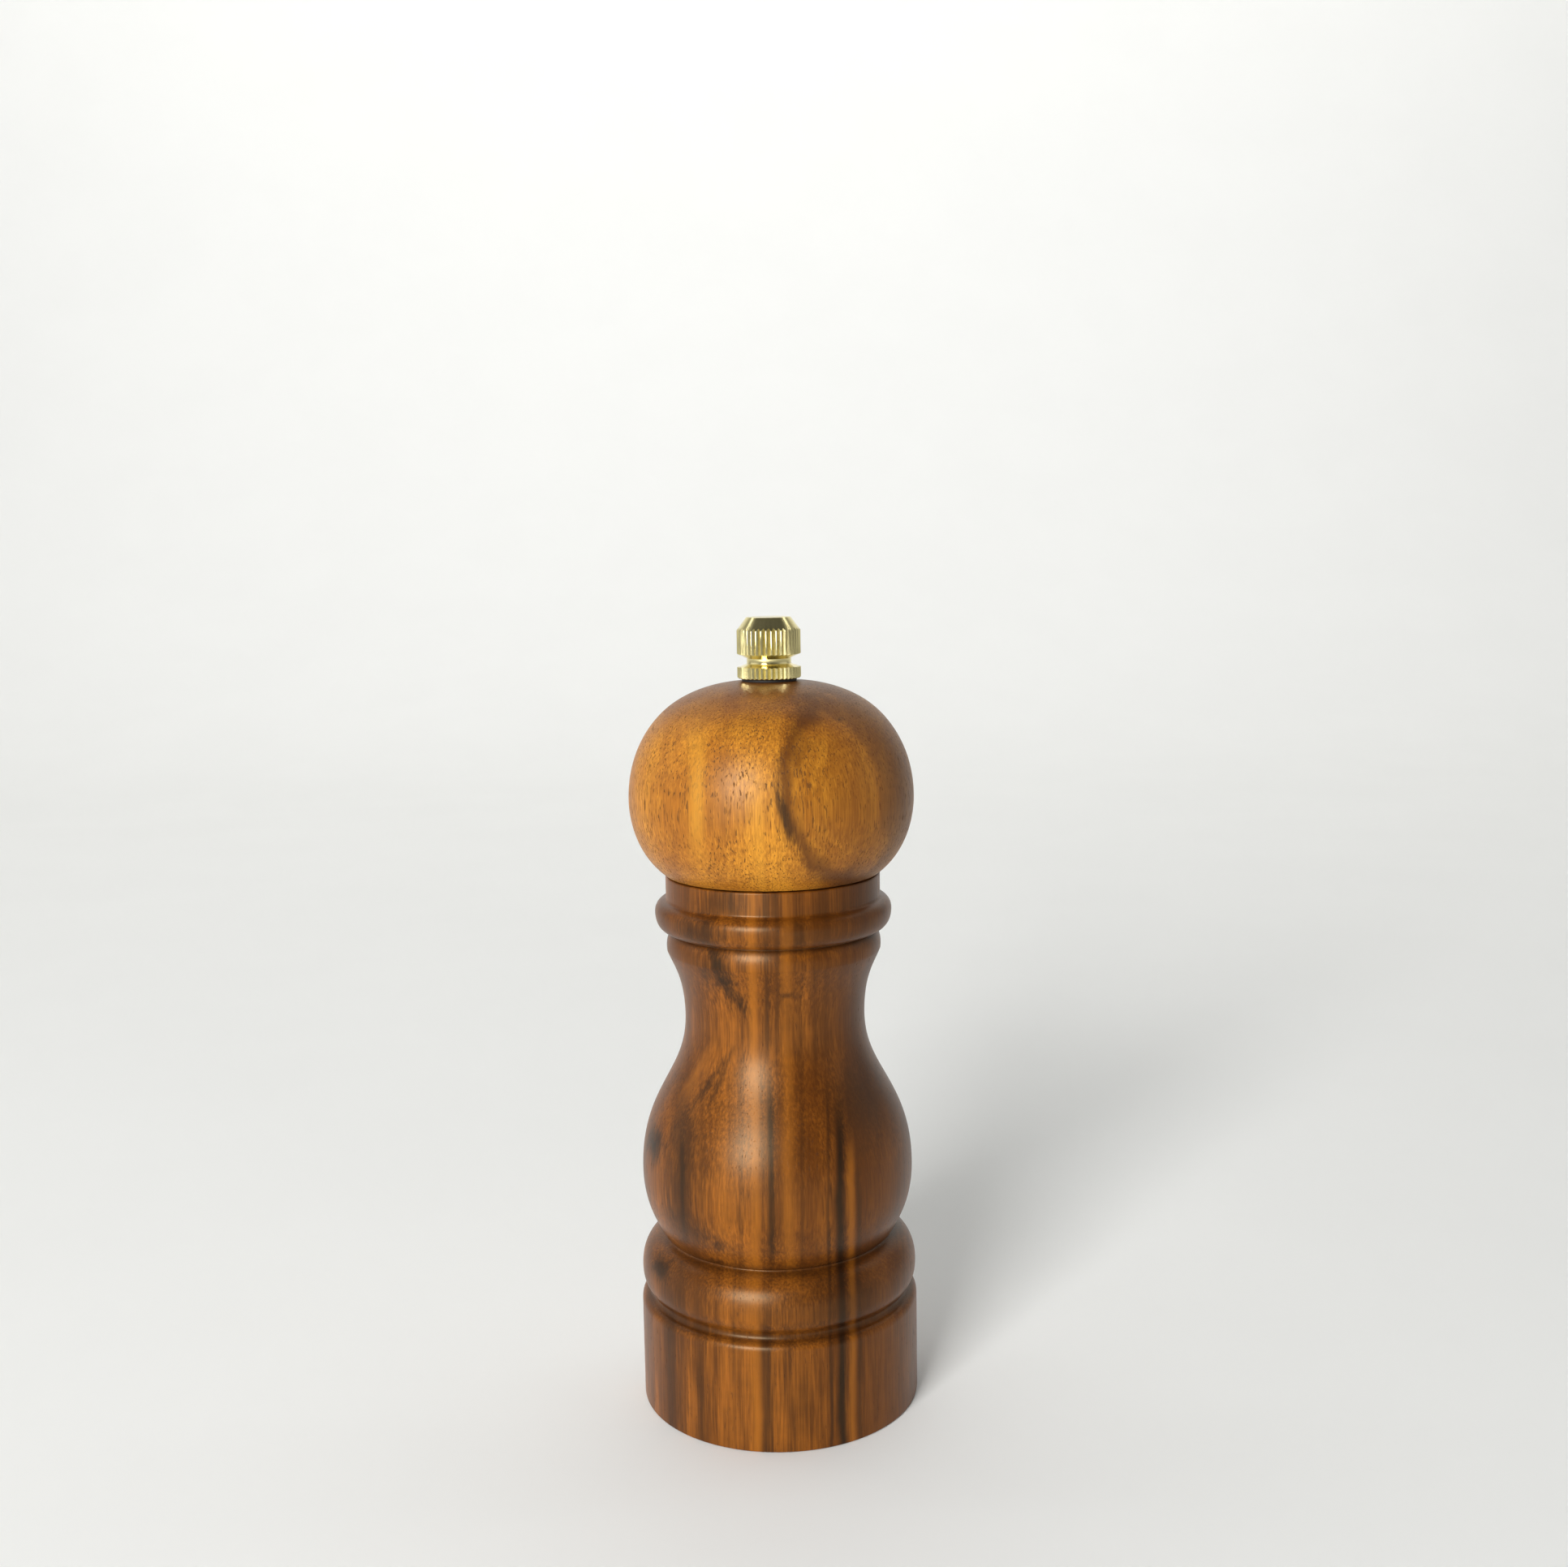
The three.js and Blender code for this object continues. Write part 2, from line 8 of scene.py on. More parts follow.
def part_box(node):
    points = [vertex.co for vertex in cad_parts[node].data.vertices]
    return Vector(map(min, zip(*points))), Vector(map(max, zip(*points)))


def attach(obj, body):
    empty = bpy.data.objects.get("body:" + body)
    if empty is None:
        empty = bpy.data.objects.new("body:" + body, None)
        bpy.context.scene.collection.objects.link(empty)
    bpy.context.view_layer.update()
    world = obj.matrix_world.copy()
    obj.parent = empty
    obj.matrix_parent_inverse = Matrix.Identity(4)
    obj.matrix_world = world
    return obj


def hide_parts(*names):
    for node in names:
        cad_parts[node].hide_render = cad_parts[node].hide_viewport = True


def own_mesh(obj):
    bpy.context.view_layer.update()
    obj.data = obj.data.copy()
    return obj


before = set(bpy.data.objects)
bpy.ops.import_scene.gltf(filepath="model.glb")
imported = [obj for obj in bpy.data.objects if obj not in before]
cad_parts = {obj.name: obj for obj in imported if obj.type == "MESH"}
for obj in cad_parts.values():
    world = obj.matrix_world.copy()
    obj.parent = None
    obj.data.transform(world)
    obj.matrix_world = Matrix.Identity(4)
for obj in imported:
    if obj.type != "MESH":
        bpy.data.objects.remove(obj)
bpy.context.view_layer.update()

# Pepper mill: turned wood body and head, knurled brass knob, steel grinding mechanism in the base.
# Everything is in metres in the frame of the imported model; sizes in the dictionaries are millimetres.
mm = 0.001
origin = (0.0, 0.0, 0.0)


def low(node):
    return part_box(node)[0] / mm


def high(node):
    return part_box(node)[1] / mm


def bezier(start, *controls, steps=24):
    # quadratic or cubic Bezier through its control points, sampled at even steps, without its start
    t = np.linspace(0, 1, steps + 1)[1:, None]
    points = [np.array(p, float) for p in (start, *controls)]
    order = len(points) - 1
    return sum(math.comb(order, k) * (1 - t) ** (order - k) * t ** k * p for k, p in enumerate(points))


def outline(start, *parts):
    # an outline in (radius, height): each part is a list of one point for a line,
    # or of two or three points for a Bezier curve; steps follow the part's length
    points = [np.array([start], float)]
    for part in parts:
        here = points[-1][-1]
        reach = np.linalg.norm(np.array(part[-1], float) - here)
        count = max(2, int(reach / 0.45)) if len(part) > 1 else max(1, int(reach / 2.5))
        points.append(bezier(here, *part, steps=min(count + 6 * (len(part) > 1), 90)))
    return np.vstack(points)


def ringGrid(profile, sides, shape=None, centre=(0, 0)):
    # a profile carried round an upright axis: x = r cos a, y = r sin a, z from the profile;
    # shape(r, z, a) may give another radius and height for each point of the grid
    angle = np.arange(sides) * 2 * math.pi / sides
    r = np.repeat(profile[:, :1], sides, axis=1)
    z = np.repeat(profile[:, 1:2], sides, axis=1)
    a = np.repeat(angle[None, :], len(profile), axis=0)
    if shape is not None:
        r, z = shape(r, z, a)
    return np.stack([r * np.cos(a) + centre[0], r * np.sin(a) + centre[1], z], axis=2)


def meshFrom(name, grids, material, body, sharp=40):
    # each grid is (points, closed): rings of points joined by quads, closed on itself or ended at two poles
    verts, faces, base = [], [], 0
    for points, closed in grids:
        rings, sides = points.shape[:2]
        i = np.arange(rings if closed else rings - 1)[:, None]
        j = np.arange(sides)[None, :]
        nextRing, nextSide = (i + 1) % rings, (j + 1) % sides
        quads = np.stack([i * sides + j, i * sides + nextSide,
                          nextRing * sides + nextSide, nextRing * sides + j], axis=2)
        faces.append([tuple(q) for q in (quads.reshape(-1, 4) + base).tolist()])
        verts.append(points.reshape(-1, 3))
        base += rings * sides
        if not closed:
            for ring, flip in ((0, True), (rings - 1, False)):
                verts.append(points[ring].mean(axis=0)[None, :])
                start = base - rings * sides - (1 if ring else 0) + ring * sides
                rim = start + np.arange(sides)
                a, b = (np.roll(rim, -1), rim) if flip else (rim, np.roll(rim, -1))
                faces.append([(int(p), int(q), base) for p, q in zip(a, b)])
                base += 1
    mesh = bpy.data.meshes.new(name)
    mesh.from_pydata((np.vstack(verts) * mm).tolist(), [], [f for group in faces for f in group])
    mesh.validate()
    mesh.shade_smooth()
    mesh.set_sharp_from_angle(angle=math.radians(sharp))
    mesh.materials.append(material)
    piece = bpy.data.objects.new(name, mesh)
    bpy.context.scene.collection.objects.link(piece)
    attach(piece, body)
    return piece


def turned(name, rows, sides, material, body, shape=None, closed=True, sharp=40):
    # one profile carried round the mill's axis
    return meshFrom(name, [(ringGrid(rows, sides, shape), closed)], material, body, sharp)


def addNode(tree, kind, inputs=None, **settings):
    # a node with its settings and its input values or links
    node = tree.nodes.new(kind)
    for key, value in settings.items():
        setattr(node, key, value)
    for key, value in (inputs or {}).items():
        if isinstance(value, bpy.types.NodeSocket):
            tree.links.new(value, node.inputs[key])
        else:
            node.inputs[key].default_value = value
    return node


def derive(kind, inputs, **settings):
    # a node in the tree that its input values come from
    tree = next(value.id_data for value in inputs.values() if isinstance(value, bpy.types.NodeSocket))
    return addNode(tree, kind, inputs, **settings)


def placeGroup(tree, group, **inputs):
    return addNode(tree, "ShaderNodeGroup", inputs, node_tree=group).outputs


def calc(operation, *values, clamp=False):
    inputs = dict(enumerate(values))
    return derive("ShaderNodeMath", inputs, operation=operation, use_clamp=clamp).outputs[0]


def plus(first, second, clamp=False):
    return calc("ADD", first, second, clamp=clamp)


def minus(first, second, clamp=False):
    return calc("SUBTRACT", first, second, clamp=clamp)


def times(first, second):
    return calc("MULTIPLY", first, second)


def spread(value, amount):
    # (value - 0.5) x amount: a noise turned into a push to both sides
    return times(minus(value, 0.5), amount)


def vectorCalc(operation, first, second):
    return derive("ShaderNodeVectorMath", {0: first, 1: second}, operation=operation).outputs[0]


def lengthOf(way):
    return derive("ShaderNodeVectorMath", {0: way}, operation="LENGTH").outputs["Value"]


def axisOf(place, axis):
    return derive("ShaderNodeSeparateXYZ", {0: place}).outputs[axis]


def combine(x, y, z):
    return derive("ShaderNodeCombineXYZ", {"X": x, "Y": y, "Z": z}).outputs[0]


def stretch(place, x, y, z, shift=(0.0, 0.0, 0.0)):
    return vectorCalc("ADD", vectorCalc("MULTIPLY", place, (x, y, z)), shift)


def ramp(value, lowEnd, highEnd, lowOut=0.0, highOut=1.0):
    # smooth change of a value from one level to another
    inputs = {"Value": value, 1: lowEnd, 2: highEnd, 3: lowOut, 4: highOut}
    return derive("ShaderNodeMapRange", inputs, interpolation_type="SMOOTHSTEP").outputs[0]


def blendColour(factor, first, second, mode="MIX"):
    inputs = {"Factor": factor, 6: first, 7: second}
    return derive("ShaderNodeMix", inputs, data_type="RGBA", blend_type=mode).outputs[2]


def darken(colour, shade):
    # colour x shade
    return blendColour(1.0, colour, combine(shade, shade, shade), "MULTIPLY")


def noise(place, scale, detail=3.0, roughness=0.55, distortion=0.0):
    inputs = {"Vector": place, "Scale": scale, "Detail": detail, "Roughness": roughness,
              "Distortion": distortion}
    return derive("ShaderNodeTexNoise", inputs).outputs["Fac"]


def send(tree, out, **values):
    # links values to a group's outputs
    for label, value in values.items():
        tree.links.new(value, out.inputs[label])
    return tree


def newGroup(name, inputs, outputs):
    # a group's inputs take their kind from their value: a number, a vector of three or a colour of four;
    # its outputs are numbers, except the one named Color
    tree = bpy.data.node_groups.new(name, "ShaderNodeTree")
    for label, value in inputs.items():
        kind = {3: "Vector", 4: "Color"}[len(value)] if isinstance(value, tuple) else "Float"
        socket = tree.interface.new_socket(name=label, in_out="INPUT", socket_type="NodeSocket" + kind)
        socket.default_value = value
    for label in outputs:
        kind = "Color" if label == "Color" else "Float"
        tree.interface.new_socket(name=label, in_out="OUTPUT", socket_type="NodeSocket" + kind)
    return tree, addNode(tree, "NodeGroupInput").outputs, addNode(tree, "NodeGroupOutput")


def newMaterial(name):
    material = bpy.data.materials.new(name)
    material.use_nodes = True
    tree = material.node_tree
    tree.nodes.clear()
    shader = addNode(tree, "ShaderNodeBsdfPrincipled")
    out = addNode(tree, "ShaderNodeOutputMaterial")
    tree.links.new(shader.outputs[0], out.inputs["Surface"])
    place = addNode(tree, "ShaderNodeTexCoord").outputs["Object"]
    return material, tree, shader, stretch(place, 1000, 1000, 1000)


def addBump(tree, shader, height, strength, distance):
    bump = addNode(tree, "ShaderNodeBump", {"Height": height, "Strength": strength, "Distance": distance})
    tree.links.new(bump.outputs[0], shader.inputs["Normal"])


def rgb(red, green, blue):
    # linear colour from screen values 0 to 255
    def linear(c):
        c = c / 255
        return c / 12.92 if c <= 0.04045 else ((c + 0.055) / 1.055) ** 2.4
    return (linear(red), linear(green), linear(blue), 1.0)


def buildWoodGrain():
    # Growth layers lie round a pith far to one side, so they run upright through the piece.
    # depth = distance from the pith - the pith's distance from the axis + slow warp;
    # bands are noise along that depth, fibre is fine upright noise, pores are short upright dashes,
    # and ripple is the faint cross figure that catches the light.
    tree, put, out = newGroup("woodGrain", {
        "Place": origin, "Pith": (-900.0, 0.0, 0.0), "Seed": 0.0, "Warp": 3.0, "Bands": 1.0,
        "Pale": rgb(134, 81, 28), "Middle": rgb(96, 53, 17), "Deep": rgb(56, 29, 12), "Deep Share": 0.4,
        "Pore Depth": 0.6, "Pore Share": 0.5,
    }, ["Color", "Depth", "Fibre", "Pore", "Height"])
    place = put["Place"]
    seeded = vectorCalc("ADD", place, combine(put["Seed"], put["Seed"], put["Seed"]))
    slow = noise(stretch(seeded, 1, 1, 0.3), 0.04, 2.0)
    local = noise(stretch(seeded, 1, 1, 0.2), 0.17, 3.0)
    fibre = noise(stretch(seeded, 1, 1, 0.035), 2.6, 3.0, 0.6)
    offset = vectorCalc("SUBTRACT", place, put["Pith"])
    reach = minus(lengthOf(stretch(offset, 1, 1, 0)), lengthOf(put["Pith"]))
    swing = plus(spread(slow, 2.6), minus(local, 0.5))
    depth = plus(reach, times(swing, put["Warp"]))
    ragged = plus(depth, spread(fibre, 0.7))
    along = combine(ragged, times(axisOf(place, "Z"), 0.02), put["Seed"])
    wide = noise(along, 0.15, 2.0)
    fine = noise(along, 0.9, 3.0, 0.6)
    cloud = noise(stretch(seeded, 1, 1, 0.3), 0.085, 4.0, 0.6, 0.4)
    banded = plus(spread(wide, 0.55), spread(fine, 0.34))
    tone = plus(times(banded, put["Bands"]),
                plus(times(cloud, 0.6), times(fibre, 0.4)))
    colour = blendColour(ramp(tone, 0.36, 0.7), put["Middle"], put["Pale"])

    shade = noise(stretch(along, 1, 1, 1, (31, 7, 3)), 0.24, 3.0, 0.6)
    smoke = noise(stretch(seeded, 1, 1, 0.22, (9, 4, 2)), 0.12, 4.0, 0.6)
    deepTone = plus(times(shade, 0.45), times(smoke, 0.45))
    deepTone = plus(deepTone, times(fibre, 0.1))
    deepLevel = minus(0.74, times(put["Deep Share"], 0.42))
    deep = ramp(deepTone, deepLevel, plus(deepLevel, 0.22))
    colour = blendColour(times(deep, 0.8), colour, put["Deep"])

    hair = ramp(fibre, 0.3, 0.7, 0.84, 1.14)
    ripple = ramp(noise(stretch(seeded, 0.3, 0.3, 1.0), 0.45, 2.0), 0.3, 0.7, 0.95, 1.05)
    colour = darken(colour, times(hair, ripple))

    dash = noise(stretch(seeded, 1, 1, 0.13, (5, 8, 1)), 3.3, 1.0, 0.5)
    patch = noise(stretch(seeded, 1, 1, 0.4), 0.2, 2.0)
    level = minus(0.86, times(plus(patch, put["Pore Share"]), 0.2))
    pore = ramp(dash, level, plus(level, 0.06))
    dark = blendColour(0.75, colour, rgb(40, 19, 8))
    colour = blendColour(times(pore, put["Pore Depth"]), colour, dark)
    height = minus(times(fibre, 0.3), times(pore, 0.6))
    return send(tree, out, Color=colour, Depth=depth, Fibre=fibre, Pore=pore, Height=height)


def buildVein():
    # an upright streak along one growth layer: mask = 1 near its depth, ragged along the fibres,
    # faded at its foot and top and broken into lengths
    tree, put, out = newGroup("woodVein", {
        "Place": origin, "Depth": 0.0, "Fibre": 0.5, "Centre": 0.0, "Half Width": 1.0, "Foot": 0.0,
        "Top": 100.0, "Broken": 0.5, "Seed": 0.0,
    }, ["Mask"])
    rise = axisOf(put["Place"], "Z")
    wander = noise(combine(put["Seed"], put["Centre"], times(rise, 0.07)), 1.0, 3.0)
    width = times(put["Half Width"], plus(0.7, wander))
    away = minus(plus(put["Depth"], spread(wander, 1.2)), put["Centre"])
    away = plus(away, spread(put["Fibre"], 0.9))
    core = minus(1.0, calc("DIVIDE", calc("ABSOLUTE", away), width), clamp=True)
    fade = 12.0
    up = ramp(rise, put["Foot"], plus(put["Foot"], fade))
    down = ramp(rise, minus(put["Top"], fade), put["Top"], 1.0, 0.0)
    shift = combine(put["Centre"], put["Seed"], 5.0)
    shifted = vectorCalc("ADD", stretch(put["Place"], 1, 1, 0.22), shift)
    gaps = ramp(noise(shifted, 0.2, 3.0, 0.6), 0.34, 0.64)
    gaps = plus(minus(1.0, put["Broken"]), times(gaps, put["Broken"]))
    core = times(ramp(core, 0.0, 0.9), gaps)
    return send(tree, out, Mask=times(core, times(up, down)))


def leaning(put):
    # (place - centre, with x + lean x rise) / radii
    away = vectorCalc("SUBTRACT", put["Place"], put["Centre"])
    tilt = combine(times(axisOf(away, "Z"), put["Lean"]), 0.0, 0.0)
    return vectorCalc("DIVIDE", vectorCalc("ADD", away, tilt), put["Radii"])


def buildStainAndShadePatch():
    # a soft patch, used both for stains and for painted shade: mask falls from 1 at its centre to 0 at its
    # radii, with an edge torn along the fibres; lean moves its foot to the right of its top by that much of
    # its height
    tree, put, out = newGroup("stainAndShadePatch", {
        "Place": origin, "Fibre": 0.5, "Centre": origin, "Radii": (5.0, 5.0, 5.0), "Lean": 0.0, "Ragged": 1.0,
    }, ["Mask"])
    rough = noise(stretch(put["Place"], 1, 1, 0.3), 0.35, 4.0, 0.6)
    torn = plus(minus(rough, 0.5), spread(put["Fibre"], 0.4))
    reach = lengthOf(leaning(put))
    reach = plus(reach, times(torn, times(put["Ragged"], 1.6)))
    return send(tree, out, Mask=ramp(reach, 0.1, 1.1, 1.0, 0.0))


def buildEye():
    # layers that close into an upright oval on the front: with d = length of ((x - centre + lean x rise) /
    # half width, rise / half height), line = 1 near d = 1 on the oval's left, outside = 1 beyond d = 1
    # on its right, and inner is a sine of d inside the oval
    tree, put, out = newGroup("woodEye", {
        "Place": origin, "Fibre": 0.5, "Centre": origin, "Radii": (9.0, 1.0, 17.0), "Lean": 0.0,
    }, ["Line", "Outside", "Inner"])
    away = leaning(put)
    rough = noise(stretch(put["Place"], 1, 1, 0.35), 0.16, 4.0, 0.6)
    torn = plus(spread(rough, 0.8), spread(put["Fibre"], 0.18))
    reach = plus(lengthOf(stretch(away, 1, 0, 1)), torn)
    across = axisOf(away, "X")
    front = ramp(axisOf(put["Place"], "Y"), -14.0, -2.0, 1.0, 0.0)
    left = ramp(across, -0.1, 0.9, 1.0, 0.0)
    right = ramp(across, 0.0, 0.7)
    rim = calc("ABSOLUTE", minus(reach, 1.04))
    line = times(ramp(rim, 0.0, 0.34, 1.0, 0.0), times(left, front))
    outside = times(ramp(reach, 0.9, 1.08), times(right, front))
    wave = calc("SINE", times(reach, 21.0))
    rings = times(plus(0.5, times(wave, 0.5)), ramp(reach, 0.75, 1.0, 1.0, 0.0))
    return send(tree, out, Line=line, Outside=outside, Inner=times(rings, front))


woodGrain = buildWoodGrain()
woodVein = buildVein()
stainAndShadePatch = buildStainAndShadePatch()
woodEye = buildEye()


def makeWood(name, look):
    material, tree, shader, place = newMaterial(name)
    grain = placeGroup(tree, woodGrain, Place=place, **look["grain"])
    colour = grain["Color"]
    tones = look["tones"]
    if "eye" in look:
        eye = look["eye"]
        masks = placeGroup(tree, woodEye, Place=place, Fibre=grain["Fibre"], Centre=eye["centre"],
                           Radii=eye["radii"], Lean=eye["lean"])
        for label, (strength, tone) in eye["marks"].items():
            colour = blendColour(times(masks[label], strength), colour, tones[tone])
    for count, (centre, halfWidth, foot, top, strength, broken, tone) in enumerate(look["veins"]):
        mask = placeGroup(tree, woodVein, Place=place, Depth=grain["Depth"], Fibre=grain["Fibre"],
                          Centre=centre, Foot=foot, Top=top, Broken=broken, Seed=3.7 * count,
                          **{"Half Width": halfWidth})["Mask"]
        colour = blendColour(times(mask, strength), colour, tones[tone])
    # soft patches, most of them painted shade, and stains are blended over the wood in the same way
    stains = [(0.35, *shade) for shade in look["paintedShadesAndPatches"]] + [(1.0, *stain) for stain in look["stains"]]
    for ragged, centre, radii, strength, tone, *lean in stains:
        mask = placeGroup(tree, stainAndShadePatch, Place=place, Fibre=grain["Fibre"], Centre=centre, Radii=radii,
                          Lean=lean[0] if lean else 0.0, Ragged=ragged)["Mask"]
        colour = blendColour(times(mask, strength), colour, tones[tone])
    tree.links.new(colour, shader.inputs["Base Color"])
    gloss = plus(look["roughness"], times(grain["Pore"], 0.2))
    tree.links.new(gloss, shader.inputs["Roughness"])
    shader.inputs["Specular IOR Level"].default_value = look["specular"]
    shader.inputs["Specular Tint"].default_value = look["sheenColour"]
    addBump(tree, shader, grain["Height"], 0.3, 0.00006)
    return material


# The body: brown with near-black and golden veins that run upright. Each vein is its place from left to
# right, its half width, its foot and top height, its strength, how broken it is and its tone.
# Each soft patch, most of which are painted shade, and each stain, which is torn along the fibres, is a
# centre, its radii, its strength, its tone and, where it has one, its lean.
bodyLook = {
    "grain": {"Pith": (-900.0, 0.0, 0.0), "Seed": 12.0, "Warp": 0.8, "Bands": 0.95, "Pale": rgb(136, 78, 20),
              "Middle": rgb(88, 47, 11), "Deep": rgb(48, 26, 8), "Deep Share": 0.55, "Pore Depth": 0.6,
              "Pore Share": 0.4},
    "tones": {"black": rgb(24, 13, 6), "dark": rgb(44, 23, 9), "brown": rgb(66, 36, 11),
              "gold": rgb(150, 88, 20), "rust": rgb(76, 38, 9)},
    "veins": [
        (20.0, 13.0, -60, 160, 0.6, 0.2, "rust"),
        (7.0, 3.4, 28, 84, 0.6, 0.3, "rust"),
        (-22.3, 1.8, -20, 32, 0.8, 0.2, "dark"),
        (-20.0, 1.0, -20, 44, 0.5, 0.4, "brown"),
        (-8.6, 0.4, 8, 44, 0.5, 0.4, "dark"),
        (-11.6, 0.5, 12, 40, 0.4, 0.4, "dark"),
        (-14.6, 0.4, 12, 40, 0.4, 0.4, "dark"),
        (-2.5, 2.1, -20, 34, 0.75, 0.2, "dark"),
        (2.6, 1.5, -20, 30, 0.45, 0.4, "dark"),
        (5.7, 0.4, 6, 24, 0.7, 0.2, "black"),
        (5.2, 0.9, 30, 120, 0.35, 0.5, "dark"),
        (10.6, 0.5, -20, 76, 0.75, 0.3, "dark"),
        (14.9, 0.9, -20, 66, 0.75, 0.25, "gold"),
        (16.4, 0.6, -20, 62, 0.6, 0.4, "dark"),
        (12.8, 1.1, -20, 74, 0.95, 0.1, "black"),
        (-19.4, 2.8, 34, 78, 0.65, 0.3, "dark"),
        (-19.0, 0.7, 36, 68, 0.9, 0.2, "black"),
        (-15.4, 1.4, 38, 72, 0.45, 0.5, "brown"),
        (-10.5, 2.0, 36, 66, 0.35, 0.5, "gold"),
        (-4.2, 1.2, -20, 130, 0.65, 0.2, "gold"),
        (-6.9, 0.6, 30, 66, 0.45, 0.4, "dark"),
        (-1.0, 0.9, 32, 80, 0.85, 0.25, "black"),
        (-1.4, 0.8, 74, 130, 0.6, 0.4, "dark"),
        (2.5, 1.5, 30, 130, 0.5, 0.45, "gold"),
        (0.7, 0.6, 74, 130, 0.5, 0.5, "dark"),
    ],
    "paintedShadesAndPatches": [
        # painted shade on the right half of the bead
        ((12, -26, 30), (22, 12, 10), 0.6, "dark"),
        ((-22, -18, 30), (7, 10, 8), 0.5, "dark"),
        # painted shade: dark rings in the groove over the drum, the crease over the bead and the nick under
        # the collar
        ((0, 0, 23.4), (300, 300, 1.3), 0.6, "dark"),
        ((0, 0, 36.2), (300, 300, 1.6), 0.5, "dark"),
        ((0, 0, 100.6), (300, 300, 1.0), 0.5, "dark"),
        # painted shade on the upper right of the bulb
        ((18, -14, 68), (13, 16, 13), 0.6, "dark"),
        # painted shade on the right of the collar
        ((14, -14, 106), (14, 14, 9), 0.35, "dark"),
    ],
    "stains": [
        ((-25.2, -10, 57.5), (3.4, 9, 5.2), 0.95, "black"),
        ((-19.5, -20, 55), (4.6, 9, 14), 0.55, "dark"),
        ((-25, -14, 32.5), (5.0, 9, 3.0), 0.85, "black"),
        ((-14, -22, 43), (3.2, 7, 2.4), 0.6, "dark"),
        ((-12, -24, 41.4), (2.6, 7, 1.4), 0.6, "dark"),
        ((-13, -24, 36.8), (3.2, 7, 1.3), 0.5, "black"),
        ((-16.5, -18, 73), (2.6, 8, 8), 0.6, "gold", -0.6),
        ((-13.6, -19, 72.5), (1.1, 8, 9), 0.75, "dark", -0.7),
        ((-11.2, -19, 73.5), (0.9, 8, 6), 0.6, "dark", -0.45),
        ((-9.2, -17, 93.5), (2.8, 8, 8), 0.95, "black", 0.4),
        ((-13.4, -15, 95.5), (2.4, 8, 5), 0.65, "dark", 0.1),
        ((-14, -18, 103.8), (7.5, 10, 5), 0.8, "dark"),
        ((-9, -18, 110), (5, 9, 4), 0.7, "dark"),
        ((2.6, -18, 91.2), (2.6, 5, 1.0), 0.7, "dark"),
        ((-20, -18, 44), (6, 10, 6), 0.4, "dark"),
    ],
    "roughness": 0.35, "specular": 0.34, "sheenColour": (1.0, 0.78, 0.5, 1.0),
}

# The head: golden brown. Its layers close on the front right into one upright oval.
headLook = {
    "grain": {"Pith": (-700.0, 0.0, 0.0), "Seed": 41.0, "Warp": 1.4, "Bands": 0.5, "Pale": rgb(190, 127, 36),
              "Middle": rgb(148, 89, 23), "Deep": rgb(88, 48, 14), "Deep Share": 0.3, "Pore Depth": 0.9,
              "Pore Share": 0.78},
    "tones": {"black": rgb(38, 20, 8), "dark": rgb(74, 38, 10), "brown": rgb(112, 62, 16),
              "gold": rgb(198, 138, 42)},
    "eye": {"centre": (13.0, 0.0, 131.0), "radii": (8.8, 1.0, 17.0), "lean": 0.15,
            "marks": {"Inner": (0.3, "brown"), "Outside": (0.6, "dark"), "Line": (0.8, "dark")}},
    "veins": [
        (-14.2, 2.0, 116, 150, 0.6, 0.3, "gold"),
        (-19.0, 1.5, 100, 130, 0.4, 0.4, "brown"),
        (-9.0, 1.2, 112, 150, 0.3, 0.4, "brown"),
        (-2.0, 1.6, 108, 140, 0.35, 0.4, "gold"),
        (16.8, 0.9, 116, 146, 0.3, 0.4, "brown"),
    ],
    "paintedShadesAndPatches": [
        # painted shade: the top of the head is darker
        ((2, 0, 158), (46, 46, 19), 0.85, "dark"),
        # painted shade: the right side of the head is darker, at its edge and over its front right
        ((31, -4, 130), (11, 30, 30), 0.55, "dark"),
        ((17, -22, 131), (17, 16, 26), 0.5, "brown"),
        # painted shade on the upper left of the head's top
        ((-14, -16, 150), (20, 20, 8), 0.5, "brown"),
        # painted shade under the ball on its lower right
        ((16, -20, 112), (9, 12, 6), 0.6, "dark"),
    ],
    "stains": [
        ((2.4, -31, 129), (1.5, 9, 7), 0.85, "black", 0.27),
        ((16.6, -27, 120), (1.2, 5, 1.3), 0.95, "black", -0.4),
        ((13.6, -20, 145.7), (1.5, 6, 0.7), 0.8, "black", 0.6),
        ((8.0, -20, 147), (2.4, 8, 3), 0.6, "dark", -0.5),
    ],
    "roughness": 0.4, "specular": 0.36, "sheenColour": (1.0, 0.84, 0.6, 1.0),
}

bodyWood = makeWood("bodyWood", bodyLook)
headWood = makeWood("headWood", headLook)
print("woods made")


def buildMetalWear():
    # fine tool marks and blotches: colour factor, roughness offset and height
    tree, put, out = newGroup("metalWear", {"Place": origin, "Lines": (1.0, 1.0, 14.0), "Grain": 1.0},
                              ["Shade", "Gloss", "Height"])
    lines = noise(vectorCalc("MULTIPLY", put["Place"], put["Lines"]), put["Grain"], 3.0, 0.6)
    marks = plus(lines, noise(put["Place"], 0.35, 3.0, 0.6))
    shade = plus(0.88, times(marks, 0.12))
    gloss = times(minus(marks, 1.0), 0.16)
    return send(tree, out, Shade=shade, Gloss=gloss, Height=lines)


metalWear = buildMetalWear()


def makeMetal(name, colour, roughness, lines, grain, metallic=1.0, bumpStrength=0.1):
    material, tree, shader, place = newMaterial(name)
    wear = placeGroup(tree, metalWear, Place=place, Lines=lines, Grain=grain)
    tree.links.new(darken(colour, wear["Shade"]), shader.inputs["Base Color"])
    tree.links.new(plus(roughness, wear["Gloss"], clamp=True), shader.inputs["Roughness"])
    shader.inputs["Metallic"].default_value = metallic
    addBump(tree, shader, wear["Height"], bumpStrength, 0.00005)
    return material


